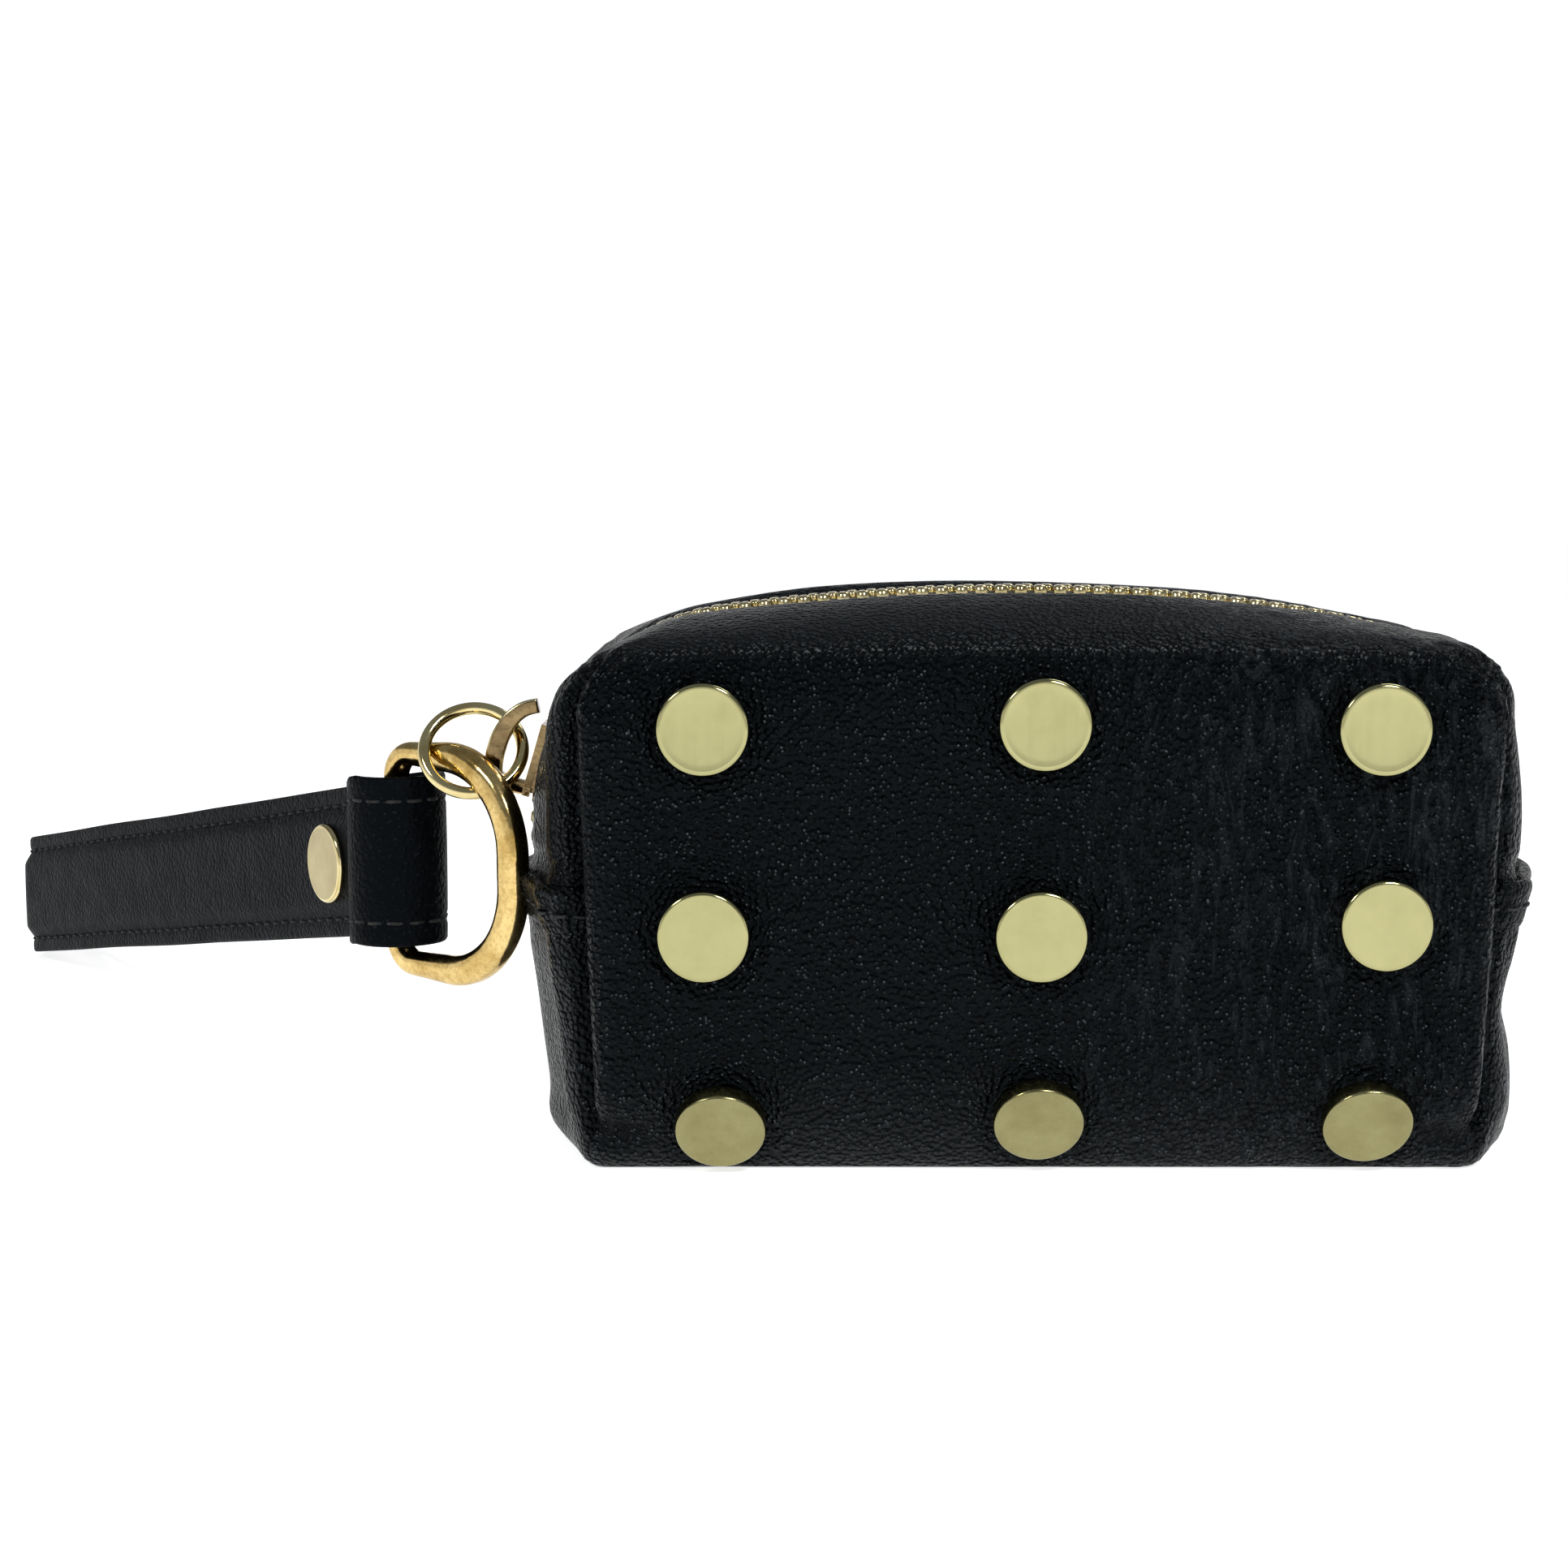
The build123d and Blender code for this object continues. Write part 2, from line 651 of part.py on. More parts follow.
fold_base = Plane((BAR_X, BAR_Y, BAR_Z - FOLD_HEIGHT / 2), x_dir=strap_along, z_dir=(0, 0, 1))
for name, outer_r, inner_r in (
    ("strap_fold", FOLD_RADIUS, FOLD_RADIUS - FOLD_SKIN),
    ("strap_fold_core", FOLD_RADIUS - FOLD_SKIN, FOLD_BORE),
):
    with BuildPart() as fold:
        with BuildSketch(fold_base):
            Circle(outer_r)
            Circle(inner_r, mode=Mode.SUBTRACT)
            with Locations((STRAP_START + FOLD_RADIUS, 0)):
                Rectangle(2 * FOLD_RADIUS, 3 * FOLD_RADIUS, mode=Mode.SUBTRACT)
        extrude(amount=FOLD_HEIGHT)
    save(fold.part, name)

save(stud(rivet_plane, RIVET_HEAD, RIVET_HEAD_HEIGHT, rivet_span), "strap_rivet")

with BuildPart() as rivet_cap:
    with BuildSketch(rivet_plane.offset(-rivet_span)):
        Circle(RIVET_CAP)
    extrude(amount=-RIVET_CAP_HEIGHT)
save(rivet_cap.part, "strap_rivet_cap")
shoulder_turn = SLIDER_ANGLE - 90 - degrees(left_path["lean"])
print(f"zip shoulder centre x {-left_path['x']:.3f} z {left_path['z']:.3f}, turn {shoulder_turn:.1f} deg")
print(f"dee arm direction {tuple(round(v, 4) for v in dee_out)}")
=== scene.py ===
"""A small zip makeup bag with studs and a wrist strap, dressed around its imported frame.

Lengths in this file are in millimetres; the mesh builders turn them into metres.
"""

import json
import math
import random

import bmesh
import bpy
import numpy as np
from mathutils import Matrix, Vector, noise


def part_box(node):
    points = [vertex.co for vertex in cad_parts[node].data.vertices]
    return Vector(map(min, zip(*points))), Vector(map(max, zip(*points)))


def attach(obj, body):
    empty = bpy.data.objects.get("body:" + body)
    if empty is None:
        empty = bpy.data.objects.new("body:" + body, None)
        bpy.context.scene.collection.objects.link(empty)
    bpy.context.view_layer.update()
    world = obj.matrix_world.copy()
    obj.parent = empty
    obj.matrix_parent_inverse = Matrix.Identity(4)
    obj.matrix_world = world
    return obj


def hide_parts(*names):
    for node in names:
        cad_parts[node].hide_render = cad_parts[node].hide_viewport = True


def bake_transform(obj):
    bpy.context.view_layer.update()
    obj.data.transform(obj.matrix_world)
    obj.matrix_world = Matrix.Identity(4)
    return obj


MM = 0.001
UP = np.array([0, 0, 1.0])
columns = np.column_stack
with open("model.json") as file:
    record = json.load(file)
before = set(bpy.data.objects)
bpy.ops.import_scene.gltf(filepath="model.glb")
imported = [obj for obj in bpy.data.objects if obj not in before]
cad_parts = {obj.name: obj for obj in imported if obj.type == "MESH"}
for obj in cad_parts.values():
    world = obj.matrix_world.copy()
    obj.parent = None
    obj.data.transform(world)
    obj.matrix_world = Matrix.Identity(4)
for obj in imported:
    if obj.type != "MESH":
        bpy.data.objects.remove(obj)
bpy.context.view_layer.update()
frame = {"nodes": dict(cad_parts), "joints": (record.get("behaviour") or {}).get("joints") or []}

random.seed(7)


def box_mm(node):
    """Lowest and highest corners of a CAD node, in millimetres."""
    low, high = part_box(node)
    return np.array(low) / MM, np.array(high) / MM


def joint(name):
    """Place of a joint of the frame, in millimetres."""
    found = next(j for j in frame["joints"] if j["name"] == name)
    return np.array(found["pos_m"]) / MM


# ---- sizes of the bag
SEAM_Z = box_mm("left_upper_gusset")[0][2]
ZIP_EDGE = box_mm("front_top_flap")[1][1] * -1
HINGE_Y = -joint("front_flap_hinge")[1]
HALF_DEPTH = -box_mm("front_panel")[0][1]
HALF_LENGTH = -box_mm("left_upper_gusset")[0][0]
TOP = box_mm("front_top_flap")[1][2]
GROOVE_Y = HINGE_Y - 1.2

STITCH_Y = ZIP_EDGE + 1.9
MOUTH_SPLIT = 6.0  # x where the left and right halves of the mouth's pieces meet

LEATHER = 1.25
LINING_DEPTH = 2.25
LINING = 0.4

# Cross stations from the zip line to the front face: y, inset of the ends, bottom height, drop of the
# top, left and right shoulder radii, left and right top arc radii, bottom corner radius.
STATIONS = np.array([
    (0.0, 0.0, 0.0, 0.0, 29.5, 12.0, 300.0, 240.0, 4.6),
    (4.7, 0.0, 0.0, 0.0, 29.5, 12.0, 300.0, 240.0, 4.6),
    (12.0, 2.1, 0.0, 1.2, 23.5, 10.5, 400.0, 320.0, 4.4),
    (19.0, 5.0, 0.0, 3.3, 15.0, 8.5, 600.0, 500.0, 4.0),
    (23.2, 7.2, 0.6, 5.1, 9.6, 7.5, 900.0, 800.0, 3.2),
    (26.2, 9.0, 5.6, 7.2, 7.0, 6.5, 1500.0, 1200.0, 2.8),
    (28.3, 11.6, 12.5, 11.6, 5.2, 5.5, 2500.0, 2000.0, 3.0),
    (28.6, 16.0, 18.0, 17.0, 6.0, 5.5, 3500.0, 3000.0, 4.0),
])
STATIONS[:, 1] = HALF_LENGTH - STATIONS[:, 1]
STATIONS[:, 3] = TOP - STATIONS[:, 3]


def rise(low, high, x):
    """0 below low, 1 above high, with a soft step between."""
    t = np.clip((np.asarray(x, float) - low) / (high - low), 0, 1)
    return t * t * (3 - 2 * t)


def bell(x, centre, width):
    """1 at the centre, falling to 0 on both sides."""
    return np.exp(-(((np.asarray(x, float) - centre) / width) ** 2))


def smooth_rows(knots, rows, x):
    """Rows of a table between its knots, with slopes taken from neighbouring rows."""
    rows = np.asarray(rows, float)
    slopes = np.gradient(rows, knots, axis=0)
    i = np.clip(np.searchsorted(knots, x, side="right") - 1, 0, len(knots) - 2)
    step = (knots[i + 1] - knots[i])[:, None]
    t = ((x - knots[i]) / (knots[i + 1] - knots[i]))[:, None]
    return (
        (2 * t**3 - 3 * t**2 + 1) * rows[i]
        + (t**3 - 2 * t**2 + t) * step * slopes[i]
        + (3 * t**2 - 2 * t**3) * rows[i + 1]
        + (t**3 - t**2) * step * slopes[i + 1]
    )


def noise_at(points, scale, stretch=(1, 1, 1), seed=0.0):
    """Smooth noise from -1 to 1 at points in millimetres."""
    factor = np.array(stretch, float) / scale
    return np.array([noise.noise(Vector(p * factor + seed)) for p in points])


def unit(vectors):
    """The same directions with a length of one."""
    return vectors / np.maximum(np.linalg.norm(vectors, axis=-1, keepdims=True), 1e-9)


def arc(cx, cz, radius, start, stop, count=18):
    """Points of an arc between two angles in degrees."""
    turn = np.radians(np.linspace(start, stop, count))
    return columns([cx + radius * np.cos(turn), cz + radius * np.sin(turn)])


def distances(line):
    """Distance along a line at each of its points."""
    return np.concatenate([[0], np.cumsum(np.linalg.norm(np.diff(line, axis=0), axis=1))])


def resample(line, count):
    """The same line as count points, evenly spaced."""
    run = distances(line)
    at = np.linspace(0, run[-1], count)
    return columns([np.interp(at, run, line[:, k]) for k in range(line.shape[1])])


def soften(line, times):
    """Rounds the corners of a line in place; its two ends stay."""
    for _ in range(times):
        line[1:-1] = (line[:-2] + line[1:-1] * 2 + line[2:]) / 4


# ---- the body surface
LOW_STEPS, HIGH_STEPS, TOP_STEPS = 34, 30, 150
SIDES = [LOW_STEPS, HIGH_STEPS, TOP_STEPS, HIGH_STEPS, LOW_STEPS, TOP_STEPS]


def end_line(half, bottom, top, shoulder, arch, corner):
    """Right-hand outline from the bottom corner's middle up to the shoulder's, and on to the top centre."""
    centre_x = half - shoulder
    reach = math.sqrt((arch - shoulder) ** 2 - centre_x**2)
    lean = math.degrees(math.atan2(reach, centre_x))
    middle = lean / 2
    foot = arc(half - corner, bottom + corner, corner, -45, 0)
    wall = arc(centre_x, top - arch + reach, shoulder, 0, middle)
    crest = arc(centre_x, top - arch + reach, shoulder, middle, lean)
    crown = arc(0, top - arch, arch, lean, 90, 40)
    return np.vstack([foot, wall]), np.vstack([crest, crown[1:]])


def split_at_seam(line):
    """An end's rising line cut at the height of the lapped seam."""
    low = line[line[:, 1] < SEAM_Z - 0.01]
    high = line[line[:, 1] > SEAM_Z + 0.01]
    share = (SEAM_Z - low[-1, 1]) / (high[0, 1] - low[-1, 1])
    seam = low[-1] + share * (high[0] - low[-1])
    return np.vstack([low, seam]), np.vstack([seam, high])


def outline(row):
    """One closed outline, as its sides: left low, left high, top, right high, right low, bottom."""
    _, half, bottom, top, left_r, right_r, left_arch, right_arch, corner = row
    mirror = np.array([-1, 1])
    rise_l, crest_l = end_line(half, bottom, top, left_r, left_arch, corner)
    rise_r, crest_r = end_line(half, bottom, top, right_r, right_arch, corner)
    low_l, high_l = split_at_seam(rise_l * mirror)
    low_r, high_r = split_at_seam(rise_r)
    across = np.vstack([crest_l * mirror, crest_r[::-1][1:]])
    foot = arc(half - corner, bottom + corner, corner, -90, -45)
    under = np.vstack([foot[::-1], (foot * mirror)])
    sides = [low_l, high_l, across, high_r[::-1], low_r[::-1], under]
    return [resample(part, steps + 1) for part, steps in zip(sides, SIDES)]


SIDE_START = np.concatenate([[0], np.cumsum(SIDES)])
LOOP = SIDE_START[-1]
side_of_step = np.repeat(np.arange(6), SIDES)

knot_run = distances(STATIONS[:, [0, 1, 3]])
fine_run = np.linspace(0, knot_run[-1], 1200)
fine_y = smooth_rows(knot_run, STATIONS, fine_run)[:, 0]
face_run = knot_run[-2] + 0.55 * (knot_run[-1] - knot_run[-2])


def runs_between(y_start, y_stop, count):
    """Even places along the stations from one y to another, without the last."""
    start, stop = np.interp([y_start, y_stop], fine_y, fine_run)
    return np.linspace(start, stop, count + 1)[:-1]


# Rings from the zip line out: to the zip's edge, to the groove beside the face, to the flap's hinge.
EDGE_RING = 5
GROOVE_RING = EDGE_RING + 36
HINGE_RING = GROOVE_RING + 3
hinge_run = np.interp(HINGE_Y, fine_y, fine_run)
half_runs = np.concatenate([
    runs_between(0, ZIP_EDGE, EDGE_RING),
    runs_between(ZIP_EDGE, GROOVE_Y, GROOVE_RING - EDGE_RING),
    runs_between(GROOVE_Y, HINGE_Y, HINGE_RING - GROOVE_RING),
    np.linspace(hinge_run, face_run, 10),
])
rows_out = smooth_rows(knot_run, STATIONS, half_runs)
RINGS_OUT = len(half_runs)


def ring(row, side):
    """One closed ring of the skin, in front of the zip line or behind it."""
    loop = np.vstack([part[:-1] for part in outline(row)])
    return columns([loop[:, 0], np.full(len(loop), side * row[0]), loop[:, 1]])


LEAN_HEIGHT = 34  # the ends lean in below this height
LEFT_LEAN, RIGHT_LEAN = 3.4, 1.6
LEFT_CORNER, RIGHT_CORNER = 1.1, 0.9  # how far the upper corners stand out
RIGHT_WAIST, RIGHT_FOOT, RIGHT_SHOULDER = 2.3, 0.5, 2.4


def bend_ends(points):
    """The soft ends: they lean in towards the bottom, more on the left, and sag a little on the right."""
    x, y, z = points.T
    left = rise(35, 58, -x)
    right = rise(35, 58, x)
    middle = 1 - rise(15, 27, abs(y))
    low = np.clip((LEAN_HEIGHT - z) / LEAN_HEIGHT, 0, 1)
    corner = (1 - middle) * rise(30, 60, z)
    foot = low**1.3 * (1 - 0.45 * rise(0.75, 1.0, low)) * (0.35 + 0.65 * middle)
    waist = RIGHT_WAIST * bell(z, 21, 7) + RIGHT_FOOT * low**3 + RIGHT_SHOULDER * rise(44, 62, z)
    lean_left = left * (LEFT_LEAN * foot - LEFT_CORNER * corner)
    lean_right = right * (RIGHT_LEAN * low * (1 - middle) + middle * waist - RIGHT_CORNER * corner)
    return columns([x + lean_left - lean_right, y, z])


def build_surface():
    """Points, quads and labels of the whole skin: rings from front to back, then the two faces."""
    order = [(row, -1) for row in rows_out[::-1]] + [(row, 1) for row in rows_out[1:]]
    rings = np.array([ring(row, side) for row, side in order])
    ring_count = len(rings)
    points = [rings.reshape(-1, 3)]
    quads, tags = [], []
    steps = np.arange(LOOP)
    after = (steps + 1) % LOOP
    for j in range(ring_count - 1):
        here, ahead = j * LOOP, (j + 1) * LOOP
        quads.append(columns([here + steps, here + after, ahead + after, ahead + steps]))
        depth = abs(j + 0.5 - (RINGS_OUT - 1))
        tags += [(side_of_step[i], depth, -1 if j < RINGS_OUT - 1 else 1, i) for i in steps]
    start = ring_count * LOOP
    for side, base in ((-1, 0), (1, (ring_count - 1) * LOOP)):
        grid = face_grid(rings[0 if side < 0 else -1])
        index = face_index(base, start, grid.shape[:2])
        start += (grid.shape[0] - 2) * (grid.shape[1] - 2)
        points.append(grid[1:-1, 1:-1].reshape(-1, 3))
        corner = [index[:-1, :-1], index[1:, :-1], index[1:, 1:], index[:-1, 1:]]
        quad = np.stack(corner if side > 0 else corner[::-1], axis=-1).reshape(-1, 4)
        quads.append(quad)
        tags += [(6, RINGS_OUT, side, 0)] * len(quad)
    return np.vstack(points), np.vstack(quads), np.array(tags)


FACE_CROWN = 0.35


def face_sides(loop):
    """A face's sides from its outline: left and right upwards, top and bottom left to right."""
    left = loop[: SIDE_START[2] + 1]
    top = loop[SIDE_START[2] : SIDE_START[3] + 1]
    right = loop[SIDE_START[3] : SIDE_START[5] + 1][::-1]
    bottom = np.concatenate([loop[SIDE_START[5] :], loop[:1]])[::-1]
    return left, right, top, bottom


def face_grid(loop):
    """Points of a face, spanned between its four sides and crowned a little."""
    left, right, top, bottom = face_sides(loop)
    u = np.linspace(0, 1, len(top))[None, :, None]
    v = np.linspace(0, 1, len(left))[:, None, None]
    grid = (1 - u) * left[:, None] + u * right[:, None] + (1 - v) * bottom[None] + v * top[None]
    for share, line in ((1 - v, (left[0], right[0])), (v, (left[-1], right[-1]))):
        grid = grid - (1 - u) * share * line[0] - u * share * line[1]
    crown = FACE_CROWN * np.sin(np.pi * u[..., 0]) ** 0.5 * np.sin(np.pi * v[..., 0]) ** 0.7
    grid[..., 1] += np.sign(loop[0, 1]) * crown
    return grid


def face_index(base, start, shape):
    """Point numbers of a face grid: its rim is the outline's, and its inside is new."""
    index = np.zeros(shape, int)
    index[:, 0], index[:, -1], index[-1], index[0] = face_sides(np.arange(LOOP) + base)
    inside = index[1:-1, 1:-1]
    inside[:] = start + np.arange(inside.size).reshape(inside.shape)
    return index


def point_normals(points, quads):
    """Directions out of the skin at its points."""
    p = points[quads]
    face = np.cross(p[:, 2] - p[:, 0], p[:, 3] - p[:, 1])
    total = np.zeros_like(points)
    for k in range(4):
        np.add.at(total, quads[:, k], face)
    return unit(total)


stud_low, stud_high = box_mm("front_studs")
STUD_R = 5.75
STUD_SPACING = 42.0
LOW_STUD_SPACING = 40.5
STUD_ROWS = (57.2, 31.4)
LOW_STUD_Z = 7.0
# Small moves along the front to where the photo shows the studs, by their number in stud_places.
STUD_SHIFTS = {1: (0.2, 0.6), 5: (0.8, 1.4), 6: (0.5, -0.1), 7: (0.2, 0.8), 8: (1.2, 0.6)}
stud_x = (stud_high[0] + stud_low[0]) / 2 + STUD_SPACING * np.array([-1.0, 0.0, 1.0])
low_stud_x = stud_x * LOW_STUD_SPACING / STUD_SPACING
stud_places = [(x, z) for z in STUD_ROWS for x in stud_x] + [(x, LOW_STUD_Z) for x in low_stud_x]
for k, (dx, dz) in STUD_SHIFTS.items():
    stud_places[k] = (stud_places[k][0] + dx, stud_places[k][1] + dz)

# Heights and depths of the leather's shapes.
FACE_GROOVE = 3.3
FACE_ROLL = 0.8
GUSSET_SWELL = 1.3
SEAM_SWELL = 0.5
SEAM_GROOVE = 0.75
ZIP_SINK = 1.25
BACK_RISE, BACK_RISE_LEFT = 0.6, 0.5
STITCH_SINK = 0.16
CORNER_PLEAT = 0.4
STUD_DIMPLE = 0.6
WAVE = 0.3
CREASE = 0.34
FINE_CREASE = 0.12
PUCKER = 0.14
BASE_SHARE = 0.75  # how much of all this the flat base loses


def relief(points, normals):
    """How far the leather stands out from its plain surface: folds, creases and pulls."""
    x, y, z = points.T
    out = np.zeros(len(points))
    # the folds beside the front and back faces, and the ends' lapped seams
    end = rise(44, 52, abs(x)) * rise(0.25, 0.6, abs(normals[:, 0]))
    edge = rise(46, 53, abs(x)) * (1 - rise(0.75, 1.0, abs(normals[:, 2])))
    upright = rise(2.0, 9.0, z) * (1 - rise(60, 67, z))
    out -= FACE_GROOVE * edge * upright * bell(abs(y), GROOVE_Y - 0.1, 1.15)
    out += FACE_ROLL * edge * upright * bell(abs(y), GROOVE_Y + 2.7, 1.2)
    out += GUSSET_SWELL * end * upright * bell(abs(y), GROOVE_Y - 5.2, 3.2)
    out += SEAM_SWELL * bell(z, SEAM_Z - 9, 7.0) * end * (1 - rise(18, 24, abs(y)))
    out -= SEAM_GROOVE * end * bell(z, SEAM_Z + 1.5, 1.4) * (1 - rise(22, 25, abs(y)))
    # the leather along the zip
    on_top = 1 - rise(ZIP_EDGE, ZIP_EDGE + 5.5, abs(y))
    out -= ZIP_SINK * on_top * rise(SEAM_Z + 1, SEAM_Z + 8, z)
    above_seam = rise(SEAM_Z + 4, SEAM_Z + 14, z)
    raised_back = bell(y, 9.5, 4.0) * above_seam * (1 - rise(26, 50, abs(x)))
    out += raised_back * (BACK_RISE + BACK_RISE_LEFT * (1 - rise(-25, 20, x)))
    out -= STITCH_SINK * bell(abs(y), STITCH_Y, 0.55) * rise(SEAM_Z + 2, SEAM_Z + 6, z)
    # pleats round the upper corners and dimples round the studs
    corner = np.exp(-(((abs(x) - 55) / 6) ** 2) - (((z - 62) / 5) ** 2) - (((abs(y) - 25) / 4) ** 2))
    out += CORNER_PLEAT * corner * np.sin(np.arctan2(z - 60, abs(x) - 57) * 16 + abs(y))
    front = rise(20, 27, -y)
    for place_x, place_z in stud_places:
        away = np.hypot(x - place_x, z - place_z)
        out -= STUD_DIMPLE * front * bell(away, STUD_R + 0.1, 1.5)
    # waves, the creases of the right third and the puckers of the lapped seams
    out += WAVE * noise_at(points, 24, seed=3.1)
    streaks = noise_at(points, 3.4, (1, 0.5, 0.2), 11.0)
    slanted = points @ np.array([[0.8, 0, 0.6], [0, 1, 0], [-0.6, 0, 0.8]])
    skewed = noise_at(slanted, 2.6, (1, 1, 0.3), 5.0)
    right_third = rise(8, 40, x) * (0.35 + 0.65 * front)
    out += CREASE * (1 - abs(streaks) * 2) * right_third
    out += FINE_CREASE * skewed * (0.15 + right_third * rise(45, 20, abs(z - 45)))
    pucker = noise_at(points, 2.2, (0.25, 1, 1), 8.0)
    out += PUCKER * pucker * rise(40, 54, abs(x)) * (1 - rise(2, 10, abs(z - SEAM_Z + 6)))
    return out * (1 - BASE_SHARE * (z < 0.6))


points, quads, tags = build_surface()
points = bend_ends(points)
normals = point_normals(points, quads)
if normals[np.argmax(points[:, 2])][2] < 0:
    quads = quads[:, ::-1]
    normals = -normals
points = points + normals * relief(points, normals)[:, None]
points[:, 2] = np.maximum(points[:, 2], 0.0)
normals = point_normals(points, quads)

side, depth_ring, facing, step = tags.T
is_top = side == 2
is_high_end = (side == 1) | (side == 3)
is_low_end = (side == 0) | (side == 4)
in_slot = (depth_ring < EDGE_RING) & (is_top | is_high_end)
in_flap = is_top & (depth_ring > EDGE_RING) & (depth_ring < HINGE_RING)
in_gusset = (depth_ring < GROOVE_RING) & ~in_slot
left_end = side <= 1
top_x = points[SIDE_START[2] : SIDE_START[3], 0]
flap_middle = SIDE_START[2] + np.argmin(abs(top_x - MOUTH_SPLIT))
left_part = step < flap_middle


# ---- mesh builders
def new_object(name, data):
    """An object with this data, put in the scene."""
    item = bpy.data.objects.new(name, data)
    bpy.context.scene.collection.objects.link(item)
    return item


def new_piece(name, vertices, faces, material, vertex_normals=None):
    """A smooth mesh object from points in millimetres."""
    mesh = bpy.data.meshes.new(name)
    places = (np.asarray(vertices, float) * MM).tolist()
    mesh.from_pydata(places, [], [list(map(int, f)) for f in faces])
    mesh.validate()
    mesh.polygons.foreach_set("use_smooth", [True] * len(mesh.polygons))
    if vertex_normals is not None:
        mesh.normals_split_custom_set_from_vertices(np.asarray(vertex_normals, float).tolist())
    mesh.materials.append(material)
    mesh.update()
    return new_object(name, mesh)


def rim_edges(faces):
    """Directed edges that only one face uses."""
    edges = {(int(a), int(b)): None for face in faces for a, b in zip(face, np.roll(face, -1))}
    return [(a, b) for a, b in edges if (b, a) not in edges]


EDGE_BULGE = 0.3  # how far a free edge swells out and how far its outer side drops, as shares
EDGE_DROP = 0.22  # of the sheet's thickness


def shell(name, mask, material, depth=0.0, thickness=LEATHER, round_edge=True):
    """A sheet cut from the body surface: outer and inner skins and a rim, rounded where it is a free edge."""
    used, flat = np.unique(quads[mask], return_inverse=True)
    faces = flat.reshape(-1, 4)
    n = normals[used]
    outer = points[used] - n * depth
    inner = outer - n * thickness
    count = len(used)
    rim = rim_edges(faces)
    outward = np.zeros_like(outer)
    for a, b in rim:
        direction = unit(np.cross(outer[b] - outer[a], n[a] + n[b]))
        outward[a] += direction
        outward[b] += direction
    outward = unit(outward)
    rim_points = sorted({v for edge in rim for v in edge})
    free = abs(points[used][:, 1]) < ZIP_EDGE + 0.2
    middle_of = {v: 2 * count + k for k, v in enumerate(rim_points)}
    middle = (outer + inner) / 2
    if round_edge:
        middle += outward * (free * EDGE_BULGE * thickness)[:, None]
        drop = np.zeros(count)
        drop[rim_points] = free[rim_points] * EDGE_DROP * thickness
        outer = outer - n * drop[:, None]
    all_faces = [list(f) for f in faces]
    all_faces += [[count + v for v in f[::-1]] for f in faces]
    for a, b in rim:
        all_faces.append([b, a, middle_of[a], middle_of[b]])
        all_faces.append([middle_of[b], middle_of[a], count + a, count + b])
    vertex_normals = np.vstack([n, -n, outward[rim_points]])
    lean = n[rim_points] * 0.8 + outward[rim_points] * 0.6
    rounded = free[rim_points]
    vertex_normals[np.array(rim_points)[rounded]] = lean[rounded]
    vertices = np.vstack([outer, inner, middle[rim_points]])
    return new_piece(name, vertices, all_faces, material, vertex_normals)


def ring_faces(count, size, start=0, closed_path=False):
    """Quads between rings of points numbered from start, and caps on the ends of an open path."""
    faces = []
    for j in range(count if closed_path else count - 1):
        here, ahead = start + j * size, start + (j + 1) % count * size
        for i in range(size):
            m = (i + 1) % size
            faces.append([here + i, here + m, ahead + m, ahead + i])
    if not closed_path:
        faces.append([start + i for i in range(size)][::-1])
        faces.append([start + (count - 1) * size + i for i in range(size)])
    return faces


def loft_rings(name, rings, material, closed_path=False):
    """A skin over rings of points; every ring is closed and has the same count."""
    rings = np.asarray(rings, float)
    faces = ring_faces(*rings.shape[:2], closed_path=closed_path)
    return fix_normals(new_piece(name, rings.reshape(-1, 3), faces, material))


def fix_normals(piece):
    """Turns every face outwards."""
    mesh = bmesh.new()
    mesh.from_mesh(piece.data)
    bmesh.ops.recalc_face_normals(mesh, faces=mesh.faces)
    mesh.to_mesh(piece.data)
    mesh.free()
    return piece


